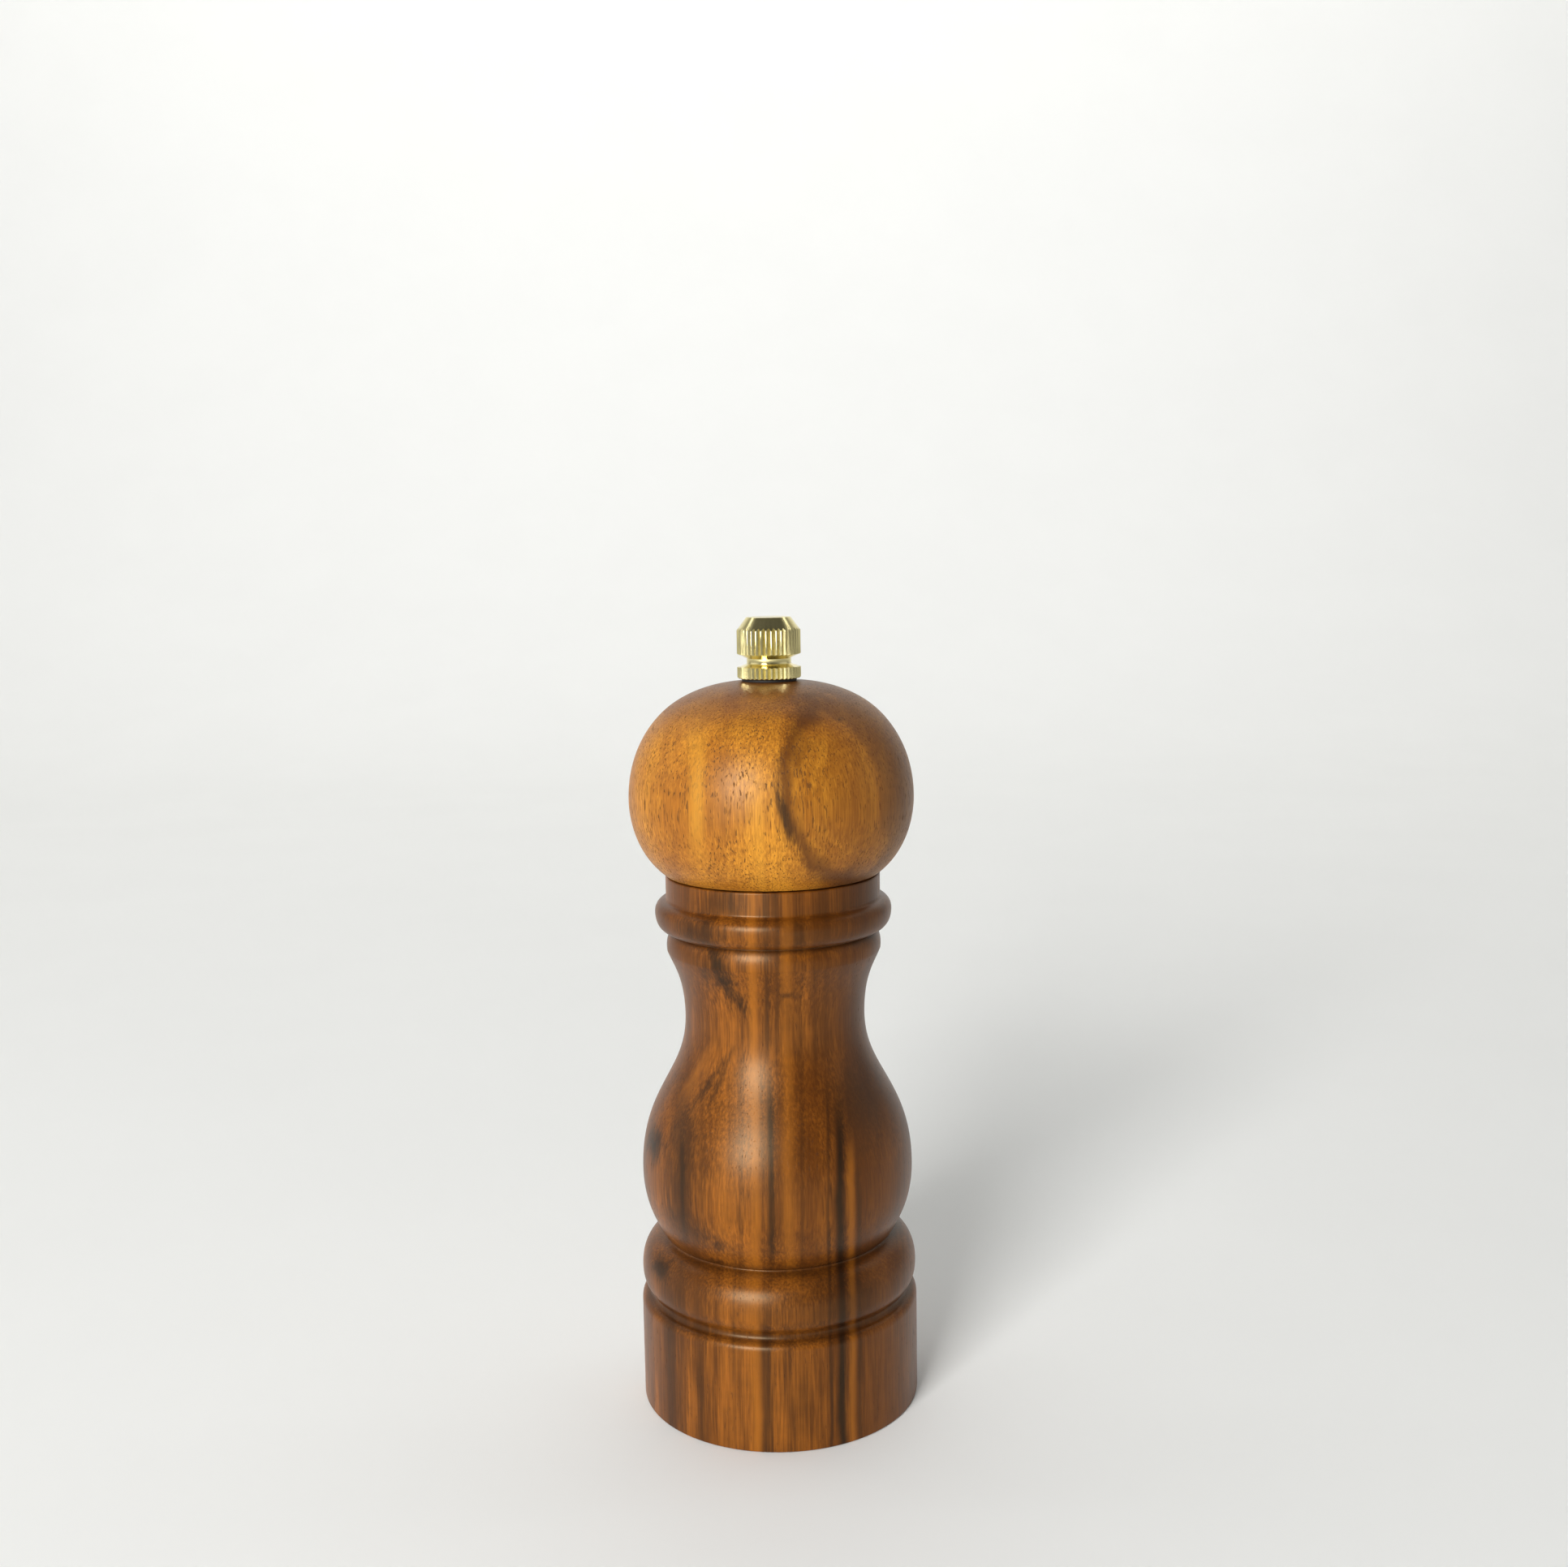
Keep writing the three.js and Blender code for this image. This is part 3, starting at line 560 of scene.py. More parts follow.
knobBrass = makeMetal("knobBrass", rgb(234, 219, 158), 0.15, (3.0, 3.0, 3.0), 1.6, bumpStrength=0.12)
shaftSteel = makeMetal("shaftSteel", rgb(196, 198, 200), 0.3, (6.0, 6.0, 0.2), 1.2)
plateSteel = makeMetal("plateSteel", rgb(188, 190, 192), 0.36, (1.0, 1.0, 6.0), 0.9)
screwSteel = makeMetal("screwSteel", rgb(205, 206, 206), 0.26, (2.0, 2.0, 6.0), 1.4)
springSteel = makeMetal("springSteel", rgb(150, 152, 156), 0.32, (3.0, 3.0, 3.0), 1.0)
burrSteel = makeMetal("burrSteel", rgb(105, 107, 110), 0.42, (2.0, 2.0, 2.0), 1.2)
castZinc = makeMetal("castZinc", rgb(184, 186, 188), 0.46, (1.2, 1.2, 1.2), 1.6, bumpStrength=0.25)
nylon = makeMetal("nylon", rgb(226, 222, 208), 0.5, (1.0, 1.0, 1.0), 0.8, metallic=0.0)
# the washer is a real part, but its near-black colour also stands for the dark line of shade under the knob
darkWasherShade = makeMetal("darkWasherShade", rgb(26, 22, 18), 0.7, (1.0, 1.0, 4.0), 1.5, metallic=0.0)
print("metals made")


# Pairs are a radius and a height; the foot, nick, collar and throat are measured down from the top.
body = {"baseRadius": high("body_shell").x, "height": high("body_shell").z, "edge": 0.4, "drumTop": 22.5,
        "groove": (27.3, 23.7), "beadFoot": 24.6, "bead": (29.05, 28.6), "crease": (24.1, 36.0),
        "bulb": (28.46, 49.9), "waist": (18.75, 82.5), "foot": (22.3, 14.3), "nick": (21.3, 11.6),
        "collar": (24.52, 7.6), "throat": (22.2, 4.4), "mouth": 15.0, "chamfer": 0.8,
        "hopper": 13.5, "hopperTop": 96.9, "housingBore": 17.0, "housingTop": 30.6, "recess": 22.7,
        "recessTop": 8.5, "sides": 240}


def bodyOutline():
    # the drum, groove, bead, crease, bulb, waist, foot, collar and throat, then the bores down the inside
    b = body
    e, base, top, drum, beadFoot = (b[k] for k in ("edge", "baseRadius", "height", "drumTop", "beadFoot"))
    (groove, grooveZ), (bead, beadZ), (crease, creaseZ) = (b[k] for k in ("groove", "bead", "crease"))
    (bulb, bulbZ), (waist, waistZ) = b["bulb"], b["waist"]
    (foot, footZ), (nick, nickZ), (collar, collarZ), (throat, throatZ) = (
        (b[k][0], top - b[k][1]) for k in ("foot", "nick", "collar", "throat"))
    mouth, chamfer, hopper = (b[k] for k in ("mouth", "chamfer", "hopper"))
    bore, recess = b["housingBore"], b["recess"]
    return outline(
        (base - e, 0), [(base, 0), (base, e)], [(base, drum - 1.5)],
        [(base, drum), (groove + e, drum + e)], [(groove - e, grooveZ), (groove + e, beadFoot)],
        [(bead - e, beadFoot + 2 * e), (bead, beadZ - 2), (bead, beadZ)],
        [(bead, beadZ + 3.6), (bead - 1.6, creaseZ - 1.4), (crease + e, creaseZ - e)],
        [(crease - e, creaseZ), (crease + e, creaseZ + e)],
        [(crease + 1.7, creaseZ + 2.9), (bulb, bulbZ - 7.2), (bulb, bulbZ)],
        [(bulb, bulbZ + 16.6), (waist, waistZ - 13), (waist, waistZ)],
        [(waist, waistZ + 8.2), (foot - 1.2, footZ - 4.4), (foot - 0.1, footZ - 1.5)],
        [(foot + 0.2, footZ + 1), (nick, nickZ - 0.2)], [(nick, nickZ)],
        [(collar - 0.6, nickZ + 0.2), (collar, collarZ - 1.8), (collar, collarZ)],
        [(collar, collarZ + 1.5), (collar - 1, throatZ - 1), (throat + e, throatZ - 0.7)],
        [(throat, throatZ - 0.5), (throat, throatZ)], [(throat, top - e)],
        [(throat, top), (throat - e, top)], [(mouth + chamfer, top)],
        [(mouth, top), (mouth, top - chamfer)], [(mouth, b["hopperTop"])],
        [(hopper, b["hopperTop"] - 1.5)], [(hopper, b["housingTop"])], [(bore, b["housingTop"])],
        [(bore, b["recessTop"])], [(recess, b["recessTop"])], [(recess, 0.3)],
        [(recess, 0), (recess + 0.3, 0)], [(base - e, 0)],
    )[:-1]


bodyPiece = turned("turnedBody", bodyOutline(), body["sides"], bodyWood, "body", sharp=35)
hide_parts("body_shell")
print("body made")


# Crest and shoulder are measured up from the ball's bottom; the shoulder is a radius and a height.
head = {"bottom": 112.7, "radius": high("head").x, "top": high("head").z, "crest": 15.4,
        "shoulder": (22.13, 33.1), "crown": 11.5, "throat": 22.2, "spigot": 14.6, "spigotFoot": low("head").z,
        "bore": 3.94, "edge": 0.3, "sides": 240}


def headOutline():
    # the spigot, the flattened ball over it and the bore for the spindle
    h = head
    e, ball, top, bottom, throat, bore = (h[k] for k in ("edge", "radius", "top", "bottom", "throat", "bore"))
    spigot, spigotFoot, crown, crest = h["spigot"], h["spigotFoot"], h["crown"], bottom + h["crest"]
    shoulder, shoulderZ = h["shoulder"][0], bottom + h["shoulder"][1]
    return outline(
        (bore + e, spigotFoot), [(spigot - 0.8, spigotFoot)],
        [(spigot, spigotFoot), (spigot, spigotFoot + 0.8)], [(spigot, bottom)],
        [(throat - 0.2, bottom)], [(throat, bottom), (throat + 0.15, bottom + 0.12)],
        [(throat + 6.2, bottom + 4.8), (ball, crest - 3.1), (ball, crest)],
        [(ball, crest + 7.75), (shoulder + 4.13, shoulderZ - 3.92), (shoulder, shoulderZ)],
        [(shoulder - 4.09, shoulderZ + 3.88), (crown, top), (crown - 6.5, top)], [(bore + e, top)],
        [(bore, top), (bore, top - e)], [(bore, spigotFoot + e)],
        [(bore, spigotFoot), (bore + e, spigotFoot)],
    )[:-1]


headPiece = turned("turnedHead", headOutline(), head["sides"], headWood, "head", sharp=35)
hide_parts("head")
print("head made")


knob = {"bottom": low("knob").z, "top": high("knob").z, "radius": 6.5, "ridges": 38, "ridgeDepth": 0.45,
        "ridgeSteps": 12, "lowerBand": (-0.45, 1.9), "upperBand": (4.6, 9.35), "waist": 4.55,
        "waistBand": (2.55, 3.75), "flatTop": 4.5, "bore": 2.8, "boreDepth": 9.8, "pole": 0.3}


def knobBands():
    # the heights where the lower band, the waist and the upper band start and end
    return [knob["bottom"] + v for band in ("lowerBand", "waistBand", "upperBand") for v in knob[band]]


def knobOutline():
    # the blind bore from its inner end down to the mouth, then two knurled bands with a groove between them
    # and a cone to the flat top
    r, w, top, flat, bore, pole = (knob[k] for k in ("radius", "waist", "top", "flatTop", "bore", "pole"))
    foot, lowTop, waistFoot, waistTop, highFoot, highTop = knobBands()
    boreEnd = knob["bottom"] + knob["boreDepth"]
    return outline(
        (pole, boreEnd), [(bore, boreEnd)], [(bore, foot + 0.4)], [(bore, foot), (bore + 0.4, foot)],
        [(r - 0.7, foot)], [(r - 0.35, foot + 0.02), (r - 0.02, foot + 0.3)],
        [(r, foot + 0.33), (r, foot + 0.4)], [(r, lowTop - 0.04)], [(r - 0.04, lowTop)],
        [(w + 0.3, waistFoot - 0.12)], [(w, waistFoot), (w, waistFoot + 0.15)], [(w, waistTop - 0.15)],
        [(w, waistTop), (w + 0.3, waistTop + 0.1)], [(r - 0.04, highFoot)], [(r, highFoot + 0.04)],
        [(r, highTop)], [(r - 0.04, highTop + 0.06)], [(flat + 0.1, top - 0.12)],
        [(flat + 0.02, top), (flat - 0.15, top)], [(pole, top)],
    )


def knurl(r, z, a):
    # upright ridges with a triangular section cut through the outline: radius = the smaller of the outline's
    # and the ridge's; where a sloping face is cut, its edge slides along the slope
    k = knob
    ridge = np.clip(1.12 * np.abs(2 * ((k["ridges"] * a / (2 * math.pi)) % 1) - 1), 0, 1)
    cut = np.maximum(r - (k["radius"] - k["ridgeDepth"] * (1 - ridge)), 0)
    _, lowTop, waistFoot, waistTop, highFoot, highTop = knobBands()
    cone = (k["top"] - highTop) / (k["radius"] - k["flatTop"])
    under = (highFoot - waistTop) / (k["radius"] - k["waist"])
    over = (waistFoot - lowTop) / (k["radius"] - k["waist"])
    slide = np.where(z > highTop + 0.01, cone, 0) - np.where((z > waistTop) & (z < highFoot + 0.02), under, 0)
    slide = slide + np.where((z > lowTop - 0.01) & (z < waistFoot), over, 0)
    return r - cut, z + cut * slide


knobPiece = turned("knurledKnob", knobOutline(), knob["ridges"] * knob["ridgeSteps"], knobBrass, "knob",
                   knurl, closed=False, sharp=32)
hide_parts("knob")


def flatRing(inner, outer, bottom, top, edge=0.12):
    # a flat ring with rounded edges
    return outline(
        (inner + edge, bottom), [(outer - edge, bottom)], [(outer, bottom), (outer, bottom + edge)],
        [(outer, top - edge)], [(outer, top), (outer - edge, top)], [(inner + edge, top)],
        [(inner, top), (inner, top - edge)], [(inner, bottom + edge)],
        [(inner, bottom), (inner + edge, bottom)],
    )[:-1]


washer = {"inner": 3.94, "outer": 5.6, "bottom": high("head").z + 0.02, "top": low("knob").z - 0.47}
# a near-black washer that also gives the dark line of shade under the knob
washerPiece = turned("knobWasher", flatRing(**washer), 96, darkWasherShade, "knob_washer")
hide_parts("knob_washer")
print("knob made")

shaft = {"half": 2.5, "corner": 14, "bottom": low("spindle_shaft").z, "top": high("spindle_shaft").z,
         "squareFoot": 5.4, "threadLength": 22.0, "lowerRadius": 2.0, "pitch": 0.8, "threadDepth": 0.3,
         "hole": 2.8, "holeCorner": 30, "holeReach": 4.5, "sides": 64, "pole": 0.3}


def polar(a, half, power):
    # radius of a square with rounded corners: half / (|cos a|^power + |sin a|^power)^(1 / power)
    return half / (np.abs(np.cos(a)) ** power + np.abs(np.sin(a)) ** power) ** (1 / power)


def squareHole(r, z, a):
    # a ring's points near its bore move out or in to the square hole for the spindle
    hole = polar(a, shaft["hole"], shaft["holeCorner"])
    return np.where(r < shaft["holeReach"], hole + (r - shaft["hole"]), r), z


def thread(r, z, a, foot, top, depth, pitch):
    # a screw thread: radius falls by a triangle wave of height / pitch - angle / one turn
    phase = (z / pitch - a / (2 * math.pi)) % 1
    wave = np.abs(2 * phase - 1)
    ends = np.clip((z - foot) / pitch, 0, 1) * np.clip((top - z) / pitch, 0, 1)
    return r - depth * wave * ends


def shaftShape(r, z, a):
    # square bar between the two round threads
    s = shaft
    threadFoot = s["top"] - s["threadLength"]
    square = (z >= s["squareFoot"] - 1e-6) & (z <= threadFoot + 1e-6) & (r > s["lowerRadius"] + 0.3)
    bar = polar(a, 1.0, s["corner"]) * r
    lower = thread(r, z, a, s["bottom"], s["squareFoot"], s["threadDepth"], s["pitch"])
    upper = thread(r, z, a, threadFoot, s["top"], s["threadDepth"], s["pitch"])
    full = r > s["lowerRadius"] - 0.1
    threaded = np.where(full & (z < s["squareFoot"]), lower, np.where(full & (z > threadFoot), upper, r))
    return np.where(square, bar, threaded), z


def shaftOutline():
    # fine steps along the threads, coarse ones along the bar, a small chamfer where the bar ends
    s = shaft
    threadFoot = s["top"] - s["threadLength"]
    step = s["pitch"] / 10
    lower = np.arange(s["bottom"] + 0.35, s["squareFoot"] - 0.05, step)
    upper = np.arange(threadFoot + 0.05, s["top"] - 0.4, step)
    middle = np.linspace(s["squareFoot"] + 0.25, threadFoot - 0.25, 60)
    rows = [(s["pole"], s["bottom"]), (s["lowerRadius"] - 0.35, s["bottom"])]
    rows += [(s["lowerRadius"], z) for z in lower]
    rows += [(s["lowerRadius"], s["squareFoot"] - 0.01), (s["half"] * 0.93, s["squareFoot"])]
    rows += [(s["half"], z) for z in middle]
    rows += [(s["half"] * 0.93, threadFoot), (s["half"] * 0.9, threadFoot + 0.01)]
    rows += [(s["half"] - 0.02, z) for z in upper]
    rows += [(s["half"] - 0.4, s["top"]), (s["pole"], s["top"])]
    return np.array(rows)


shaftPiece = turned("spindleShaft", shaftOutline(), shaft["sides"], shaftSteel, "spindle",
                    shaftShape, closed=False, sharp=30)
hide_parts("spindle_shaft")
print("spindle made")

housing = {"bottom": 6.7, "top": 30.3, "flange": 22.3, "flangeTop": 8.2, "wall": 16.6, "burrBore": 14.7,
           "burrTop": 17.3, "feed": 13.0, "bridge": (28.3, 30.3), "hub": 7.18, "hole": 5.7, "arms": 3,
           "armWidth": 4.2, "armStart": 60, "armCorner": 6, "fillet": 1.0, "edge": 0.3}


def housingOutline():
    # flange, fillet, tube with a rounded rim, and the two bores
    h = housing
    f, bottom, top, flange, flangeTop = (h[k] for k in ("fillet", "bottom", "top", "flange", "flangeTop"))
    wall, bore, feed, burrTop, e = (h[k] for k in ("wall", "burrBore", "feed", "burrTop", "edge"))
    return outline(
        (bore + e, bottom), [(flange - e, bottom)], [(flange, bottom), (flange, bottom + e)],
        [(flange, flangeTop - e)], [(flange, flangeTop), (flange - e, flangeTop)],
        [(wall + f, flangeTop)], [(wall, flangeTop), (wall, flangeTop + f)], [(wall, top - e)],
        [(wall, top), (wall - e, top)], [(feed + e, top)], [(feed, top), (feed, top - e)],
        [(feed, burrTop + e)], [(feed, burrTop), (feed + e, burrTop)], [(bore, burrTop)],
        [(bore, bottom + e)], [(bore, bottom), (bore + e, bottom)],
    )[:-1]


def bridgeArm(angle):
    # an arm from the hub to the wall: a rounded rectangle section, wider where it meets both ends
    h = housing
    run = np.linspace(h["hole"] + 0.5, h["wall"] - 0.8, 28)[:, None]
    middle, reach = (run[0] + run[-1]) / 2, (run[-1] - run[0]) / 2
    flare = np.abs((run - middle) / reach) ** 5
    turn = np.arange(40)[None, :] * 2 * math.pi / 40
    floorHeight, topHeight = h["bridge"]
    section = polar(turn, 1, h["armCorner"])
    side = section * np.cos(turn) * (h["armWidth"] / 2 - 0.3 + 0.6 * flare)
    rise = (floorHeight + topHeight) / 2 + section * np.sin(turn) * ((topHeight - floorHeight) / 2 - 0.12)
    c, k = math.cos(math.radians(angle)), math.sin(math.radians(angle))
    return np.stack([run * c - side * k, run * k + side * c, rise + 0 * run], axis=2)


hub = flatRing(housing["hole"], housing["hub"], *housing["bridge"], edge=housing["edge"])
arms = [bridgeArm(housing["armStart"] + i * 360 / housing["arms"]) for i in range(housing["arms"])]
housingGrids = [(ringGrid(housingOutline(), 144), True), (ringGrid(hub, 72), True)]
housingGrids += [(arm, False) for arm in arms]
housingPiece = meshFrom("castHousing", housingGrids, castZinc, "body", sharp=35)
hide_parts("grinder_housing")


def flatPiece(name, node, body, bore, edge, sides, shape=None, sharp=40):
    # a flat steel ring as wide and as tall as its node
    rows = flatRing(bore, high(node).x, low(node).z, high(node).z, edge)
    return turned(name, rows, sides, plateSteel, body, shape, sharp=sharp)


ringPiece = flatPiece("retainingRing", "retaining_ring", "body", 13.0, 0.25, 160)
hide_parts("retaining_ring")

bush = {"bore": 3.94, "radius": 5.38, "flange": 6.78, "bottom": low("guide_bush").z, "seat": 30.6,
        "top": high("guide_bush").z}


def bushOutline():
    # the plug in the bridge, the flange over it and the bore, with chamfered and rounded edges
    bore, radius, flange, bottom, seat, top = (bush[k] for k in bush)
    return outline(
        (bore + 0.2, bottom), [(radius - 0.3, bottom)], [(radius, bottom + 0.3)], [(radius, seat)],
        [(flange - 0.2, seat)], [(flange, seat), (flange, seat + 0.2)], [(flange, top - 0.25)],
        [(flange, top), (flange - 0.25, top)], [(bore + 0.35, top)], [(bore, top), (bore, top - 0.35)],
        [(bore, bottom + 0.2)], [(bore, bottom), (bore + 0.2, bottom)],
    )[:-1]


bushPiece = turned("guideBush", bushOutline(), 96, nylon, "body")
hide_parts("guide_bush")
print("housing made")

burrs = {"bottom": 6.7, "top": 17.0, "radius": high("outer_burr").x, "bite": 12.0, "taper": 0.25, "teeth": 24,
         "depth": 0.8, "twist": 0.35, "innerBottom": low("inner_burr").z, "toothedTop": 12.8,
         "innerTop": high("inner_burr").z, "innerTeeth": 20, "gap": 0.75, "lobes": 6, "lobeDepth": 2.4,
         "plainBore": 5.0, "holeRow": 3.0, "toothRow": 9.0, "outerSteps": 20, "innerSteps": 24}


def sawTooth(a, count, steep=0.2):
    # 0 to 1 up a long flank and back down a short one, count times round
    phase = (a * count / (2 * math.pi)) % 1
    return np.where(phase < 1 - steep, phase / (1 - steep), (1 - phase) / steep)


def outerBite(r, z, a):
    # inside the ring: radius = bite - taper x height + depth x saw tooth, turned in proportion to the height
    s = burrs
    share = (z - s["bottom"]) / (s["top"] - s["bottom"])
    cone = s["bite"] - s["taper"] * (z - s["bottom"]) + 0.02
    teeth = cone + s["depth"] * sawTooth(a + s["twist"] * share, s["teeth"])
    return np.where(r < s["radius"] - 0.6, teeth + np.maximum(r - s["plainBore"], 0), r), z


def outerBurrRows():
    # outer cylinder with small chamfers, then the toothed cone drawn as a plain bore
    foot, top, radius, bore = (burrs[k] for k in ("bottom", "top", "radius", "plainBore"))
    rows = [(bore + 0.3, foot), (radius - 0.3, foot), (radius, foot + 0.3), (radius, top - 0.3)]
    rows += [(radius - 0.3, top), (bore + 0.3, top)]
    rows += [(bore, z) for z in np.linspace(top - 0.25, foot + 0.25, 40)]
    return np.array(rows)


def innerBite(r, z, a):
    # outside the cone: radius = tip - taper x height - depth x saw tooth, with fewer and deeper lobes on top;
    # the square hole lies inside it
    s = burrs
    tip = s["bite"] - s["gap"] + s["taper"] * (s["bottom"] - z)
    share = (z - s["innerBottom"]) / (s["toothedTop"] - s["innerBottom"])
    fineTeeth = tip - s["depth"] * sawTooth(s["twist"] * share - a, s["innerTeeth"])
    climb = (z - s["toothedTop"]) / (s["innerTop"] - s["toothedTop"])
    lobes = tip - s["lobeDepth"] * sawTooth(2 * s["twist"] * climb - a, s["lobes"], 0.35)
    blend = np.clip((z - s["toothedTop"]) / 0.5, 0, 1)
    outer = fineTeeth * (1 - blend) + np.minimum(lobes, fineTeeth + 0.8 * blend) * blend
    hole = polar(a, shaft["hole"], shaft["holeCorner"])
    reach = np.clip((r - s["holeRow"]) / (s["toothRow"] - s["holeRow"]), 0, 1)
    return hole + (outer - hole) * reach, z


def innerBurrRows():
    # a ring drawn from the hole's row to the teeth's, which the shape moves in and out to both
    foot, top, hole, tooth = (burrs[k] for k in ("innerBottom", "innerTop", "holeRow", "toothRow"))
    rows = [(hole, foot), (hole + 2, foot), (tooth - 0.4, foot)]
    rows += [(tooth, z) for z in np.linspace(foot + 0.3, top - 0.4, 60)]
    rows += [(tooth - 0.5, top), (hole + 2, top), (hole, top)]
    rows += [(hole, z) for z in np.linspace(top - 0.5, foot + 0.5, 10)]
    return np.array(rows)


outerPiece = turned("outerBurrRing", outerBurrRows(), burrs["teeth"] * burrs["outerSteps"], burrSteel, "body",
                    outerBite, sharp=28)
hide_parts("outer_burr")
innerSides = burrs["innerTeeth"] * burrs["innerSteps"]
innerPiece = turned("innerBurrCone", innerBurrRows(), innerSides, burrSteel, "spindle",
                    innerBite, sharp=28)
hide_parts("inner_burr")
print("burrs made")

springSizes = {"radius": 5.1, "wire": 0.5, "turns": 5, "flatEnd": 0.6, "bottom": low("burr_spring").z,
               "top": high("burr_spring").z, "travel": 1.6, "steps": 72, "sides": 16}


def springGrid():
    # a coil: centre = (R cos t, R sin t, height) with flat ends, and a round section across it
    s = springSizes
    share = np.linspace(0, 1, s["turns"] * s["steps"] + 1)[:, None]
    t = 2 * math.pi * s["turns"] * share
    rise = np.clip((share * s["turns"] - s["flatEnd"]) / (s["turns"] - 2 * s["flatEnd"]), 0, 1)
    climb = s["top"] - s["bottom"] - 2 * s["wire"]
    section = -np.arange(s["sides"])[None, :] * 2 * math.pi / s["sides"]
    taper = np.where((share < 1e-6) | (share > 1 - 1e-6), 0.85, 1.0)
    across = s["radius"] + s["wire"] * taper * np.cos(section)
    z = s["bottom"] + s["wire"] + rise * climb + s["wire"] * taper * np.sin(section)
    return np.stack([across * np.cos(t), across * np.sin(t), z], axis=2)


coil = springGrid()
springPiece = meshFrom("burrSpring", [(coil, False)], springSteel, "spindle", sharp=60)
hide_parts("burr_spring")
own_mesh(springPiece)

seatPiece = flatPiece("springSeat", "spring_seat", "drive", shaft["hole"], 0.15, 96, squareHole, sharp=30)
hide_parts("spring_seat")

platePiece = flatPiece("drivePlate", "drive_plate", "head", shaft["hole"], 0.2, 160, squareHole, sharp=30)
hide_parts("drive_plate")

burrWasherPiece = flatPiece("burrWasher", "burr_washer", "spindle", 2.3, 0.15, 96)
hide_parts("burr_washer")

nut = {"half": 3.5, "bore": 2.3, "bottom": low("burr_nut").z, "top": high("burr_nut").z,
       "chamfer": 0.12, "slope": 1.9, "sides": 144}


def nutShape(r, z, a):
    # the smaller of a hexagon and the cone of its chamfer; hexagon radius = half / largest cosine to a flat
    n = nut
    flats = np.arange(6) * math.pi / 3 + math.pi / 6
    hexagon = n["half"] / np.max(np.cos(a[..., None] - flats), axis=-1)
    inset = n["half"] + n["chamfer"] + n["slope"] * np.minimum(z - n["bottom"], n["top"] - z)
    return np.where(r > n["half"] - 0.3, np.minimum(hexagon, inset), r), z


def nutRows():
    # bore with chamfered mouths, flat faces, and close steps over the chamfer
    half, bore, bottom, top = (nut[k] for k in ("half", "bore", "bottom", "top"))
    rows = [(bore + 0.3, bottom), (half - 0.4, bottom)]
    rows += [(half, z) for z in np.linspace(bottom, top, 26)]
    rows += [(half - 0.4, top), (bore + 0.3, top), (bore, top - 0.3), (bore, bottom + 0.3)]
    return np.array(rows)


nutPiece = turned("burrNut", nutRows(), nut["sides"], screwSteel, "spindle", nutShape,
                  sharp=28)
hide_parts("burr_nut")

screws = {
    "housing_screw": {"name": "housingScrew", "body": "body", "shank": 1.15, "pan": 2.3, "length": 9.0,
                      "head": 1.2, "seat": 4.9, "slot": 0.5, "reach": 1.45, "circle": 19.6,
                      "angles": (30, 150, 270)},
    "drive_plate_screw": {"name": "plateScrew", "body": "head", "shank": 0.95, "pan": 2.0, "length": 8.0,
                          "head": 1.2, "seat": 98.7, "slot": 0.45, "reach": 1.25, "circle": 8.0,
                          "angles": (0, 180)},
}


def screwGrid(sizes, angle):
    # a pan head with a cross recess, its face down, and a threaded shank that narrows to a point above it
    seat, pan, shank, length = (sizes[k] for k in ("seat", "pan", "shank", "length"))
    face = seat - sizes["head"]
    crown = np.array([(r, face + 0.34 * (r / pan) ** 3) for r in np.linspace(0.08, pan * 0.86, 26)])
    rim = outline(crown[-1], [(pan, face + 0.42), (pan, seat - 0.25)], [(pan, seat - 0.02)],
                  [(pan - 0.1, seat)], [(shank + 0.15, seat)], [(shank, seat), (shank, seat + 0.2)])
    climb = np.arange(seat + 0.35, seat + length - 0.1, 0.09)
    narrow = np.clip((seat + length - climb) / 2.4, 0.06, 1)
    profile = np.vstack([crown[:-1], rim, np.stack([shank * narrow, climb], axis=1)])

    def shape(r, z, a):
        x, y = np.abs(r * np.cos(a)), np.abs(r * np.sin(a))
        across = np.clip((sizes["slot"] / 2 + 0.08 - np.minimum(x, y)) / 0.08, 0, 1)
        along = np.clip((sizes["reach"] - np.maximum(x, y)) / 0.45, 0, 1)
        recess = 0.62 * across * along * (z < seat - 0.2)
        threaded = thread(r, z, a, seat + 0.4, seat + length, 0.28, 0.85)
        return np.where((z > seat + 0.3), np.maximum(threaded, 0.05), r), z + recess

    turn = math.radians(angle)
    return ringGrid(profile, 72, shape, (sizes["circle"] * math.cos(turn), sizes["circle"] * math.sin(turn)))


for node, sizes in screws.items():
    for count, angle in enumerate(sizes["angles"], 1):
        grids = [(screwGrid(sizes, angle), False)]
        name = f"{sizes['name']}{count}"
        screwPiece = meshFrom(name, grids, screwSteel, sizes["body"], sharp=35)
        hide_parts(f"{node}_{count}")
print("screws made")


# The floor's sizes are in metres; its drop below the mill, which keeps their faces apart, is in millimetres.
floorSizes = {"drop": 0.1, "side": 4.0, "front": -3.0, "back": 0.9, "curve": 0.9, "top": 3.0}


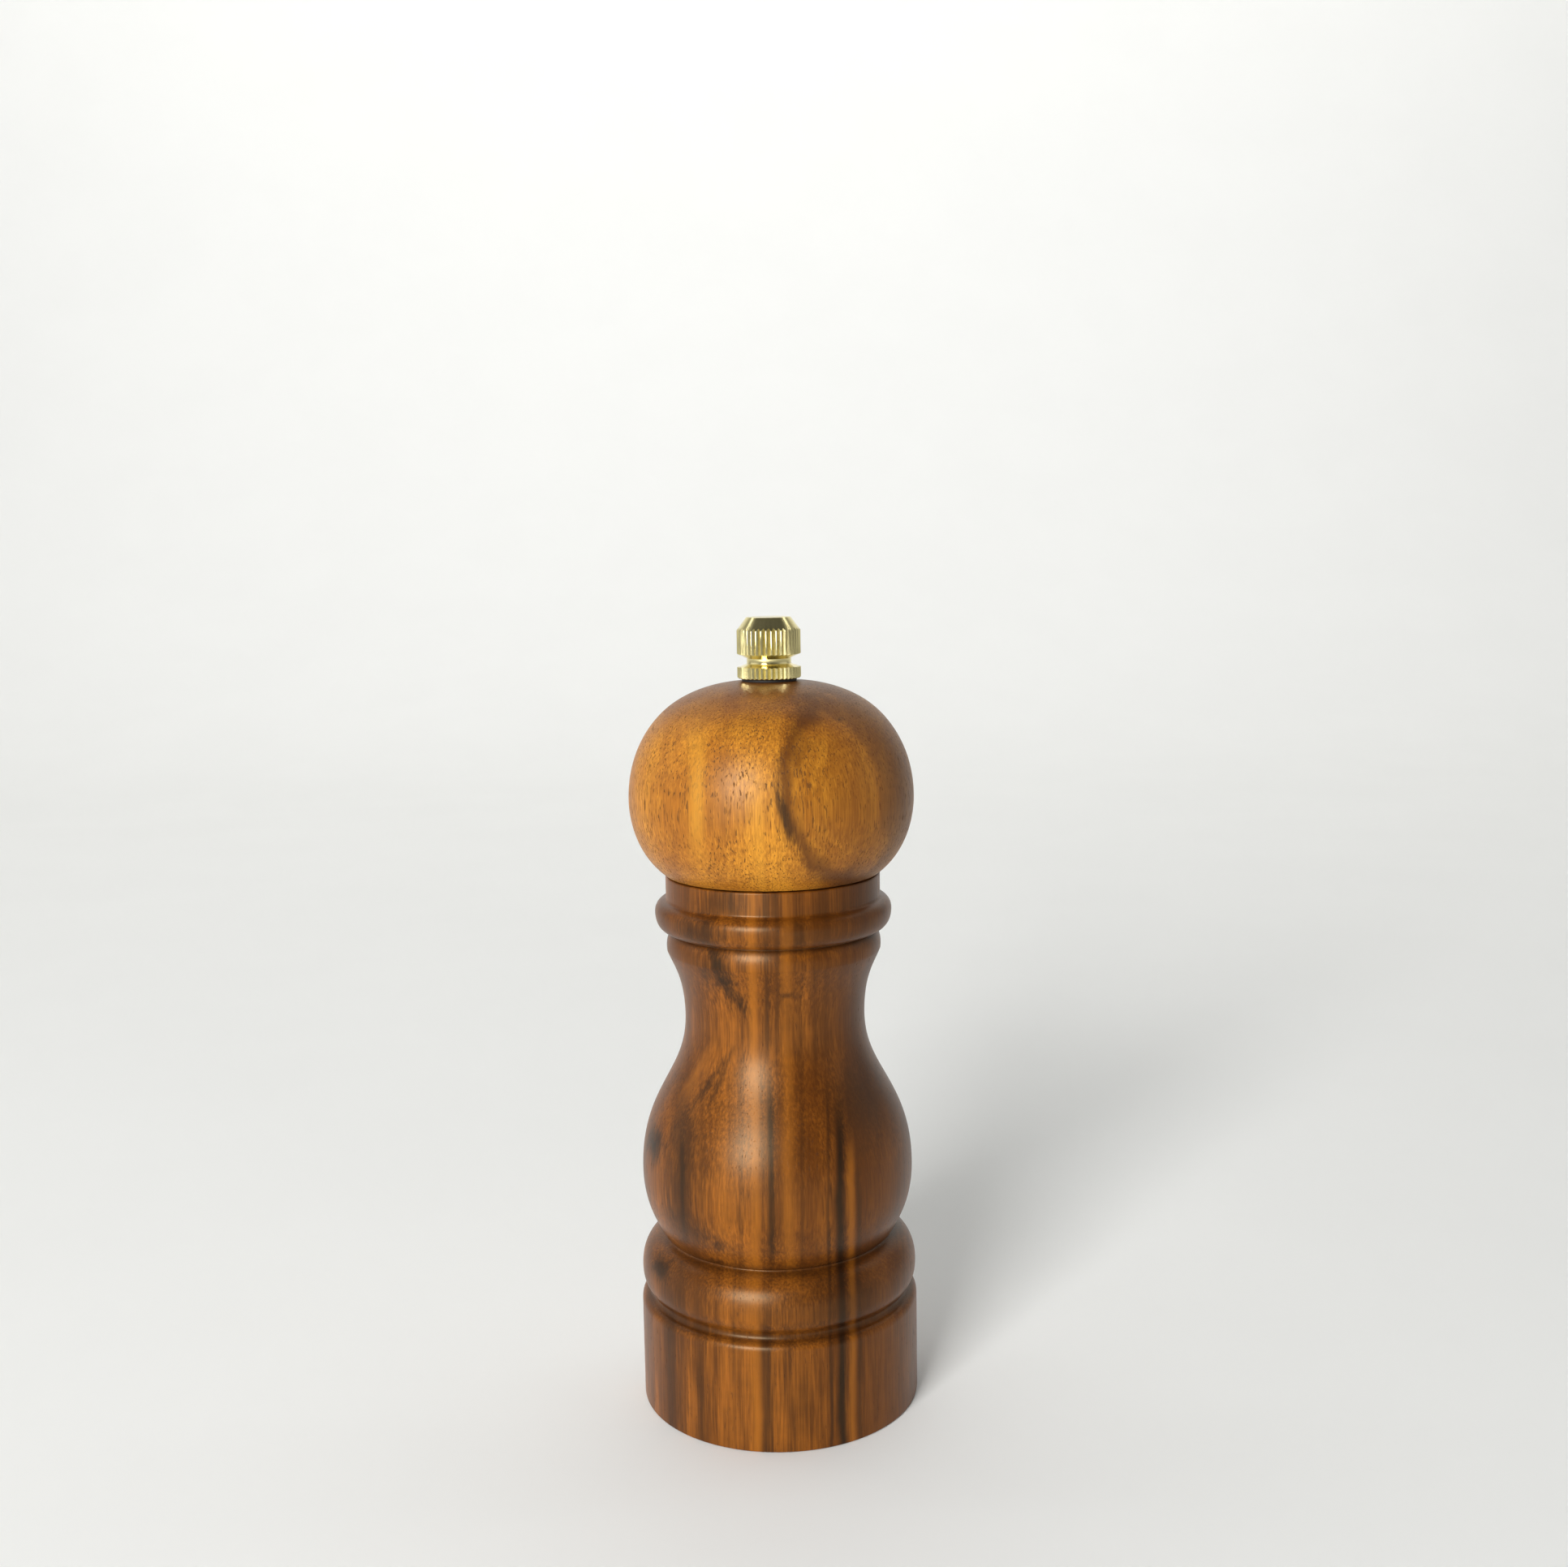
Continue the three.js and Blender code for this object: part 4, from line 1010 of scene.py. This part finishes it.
def makeFloor():
    # a floor that curves up into a backdrop: height = a quarter circle behind the mill
    material, tree, shader, place = newMaterial("paleFloor")
    mottle = ramp(noise(place, 0.01, 2.0), 0.3, 0.7, 0.99, 1.0)
    tree.links.new(darken(rgb(243, 243, 240), mottle), shader.inputs["Base Color"])
    shader.inputs["Roughness"].default_value = 0.75
    f = floorSizes
    turn = np.linspace(0.05, math.pi / 2, 24)
    flat = np.linspace(f["front"], f["back"], 22)
    depth = np.concatenate([flat, f["back"] + f["curve"] * np.sin(turn), [f["back"] + f["curve"]]])
    height = np.concatenate([0 * flat, f["curve"] * (1 - np.cos(turn)), [f["top"]]]) - f["drop"] * mm
    columns = 9
    x, y = np.meshgrid(np.linspace(-f["side"], f["side"], columns), depth)
    points = np.stack([x, y, np.repeat(height[:, None], columns, axis=1)], axis=2)
    i, j = np.meshgrid(np.arange(len(depth) - 1), np.arange(columns - 1), indexing="ij")
    corner = i * columns + j
    quads = np.stack([corner, corner + 1, corner + columns + 1, corner + columns], axis=2).reshape(-1, 4)
    mesh = bpy.data.meshes.new("floor")
    mesh.from_pydata(points.reshape(-1, 3).tolist(), [], [tuple(q) for q in quads.tolist()])
    mesh.shade_smooth()
    mesh.materials.append(material)
    floor = bpy.data.objects.new("floor", mesh)
    bpy.context.scene.collection.objects.link(floor)


lights = {
    "window": {"at": (-0.62, -1.3, 0.62), "size": (0.6, 0.75), "power": 31.0},
    "backWash": {"at": (0.0, 0.55, 1.5), "size": (3.2, 0.5), "power": 20.0, "aim": (0.0, 1.8, 0.6)},
}


def makeLight(name, at, size, power, aim=(0, 0, 0.08)):
    data = bpy.data.lights.new(name, "AREA")
    data.shape = "RECTANGLE"
    data.size, data.size_y = size
    data.energy = power
    lamp = bpy.data.objects.new(name, data)
    lamp.location = at
    lamp.rotation_euler = (Vector(aim) - Vector(at)).to_track_quat("-Z", "Y").to_euler()
    bpy.context.scene.collection.objects.link(lamp)


room = {"horizon": 0.95, "zenith": 0.12, "front": 0.2, "right": 0.3, "walls": 0.88}


def makeWorld():
    # the room's light by direction: level falls with (up - half of backward), so it is bright behind and
    # along the horizon, dimmer in front and on the right; the camera sees walls as pale as the floor
    world = bpy.data.worlds.new("studio")
    world.use_nodes = True
    tree = world.node_tree
    way = addNode(tree, "ShaderNodeTexCoord").outputs["Generated"]
    right, back, up = (axisOf(way, axis) for axis in "XYZ")
    climb = minus(up, times(back, 0.5))
    level = ramp(climb, 0.3, 0.85, room["horizon"], room["zenith"])
    frontShare = ramp(back, -0.9, -0.2, room["front"], 1.0)
    rightShare = ramp(right, 0.0, 1.0, 1.0, 1.0 - room["right"])
    strength = times(level, times(frontShare, rightShare))
    seen = addNode(tree, "ShaderNodeLightPath").outputs["Is Camera Ray"]
    mix = addNode(tree, "ShaderNodeMix", {0: seen, 2: strength, 3: room["walls"]}, data_type="FLOAT")
    background = tree.nodes["Background"]
    background.inputs["Color"].default_value = (0.97, 0.99, 1.0, 1)
    tree.links.new(mix.outputs[0], background.inputs["Strength"])
    bpy.context.scene.world = world


# Angles in degrees; focal is the focal length over the sensor's width.
camera = {"distance": 342.9, "height": 179.2, "pitch": 8.045, "yaw": 0.4449, "roll": -0.9274,
          "focal": 1.0729296, "sensor": 36}


def makeCamera():
    # right, up and backward directions from the pitch, yaw and roll, as the columns of the camera's matrix
    c = camera
    pitch, yaw, roll = (math.radians(c[k]) for k in ("pitch", "yaw", "roll"))
    forward = Vector((math.sin(yaw) * math.cos(pitch), math.cos(yaw) * math.cos(pitch), -math.sin(pitch)))
    right = Vector((math.cos(yaw), -math.sin(yaw), 0))
    up = right.cross(forward)
    tiltRight = math.cos(roll) * right + math.sin(roll) * up
    tiltUp = -math.sin(roll) * right + math.cos(roll) * up
    turn = Matrix((tiltRight, tiltUp, -forward)).transposed().to_4x4()
    data = bpy.data.cameras.new("camera")
    data.sensor_width = c["sensor"]
    data.lens = c["sensor"] * c["focal"]
    data.clip_start = 0.01
    eye = bpy.data.objects.new("camera", data)
    eye.matrix_world = Matrix.Translation((0, -c["distance"] * mm, c["height"] * mm)) @ turn
    bpy.context.scene.collection.objects.link(eye)
    bpy.context.scene.camera = eye


makeFloor()
for lightName, values in lights.items():
    makeLight(lightName, **values)
makeWorld()
bpy.context.scene.view_settings.view_transform = "Standard"
makeCamera()
print("stage made")
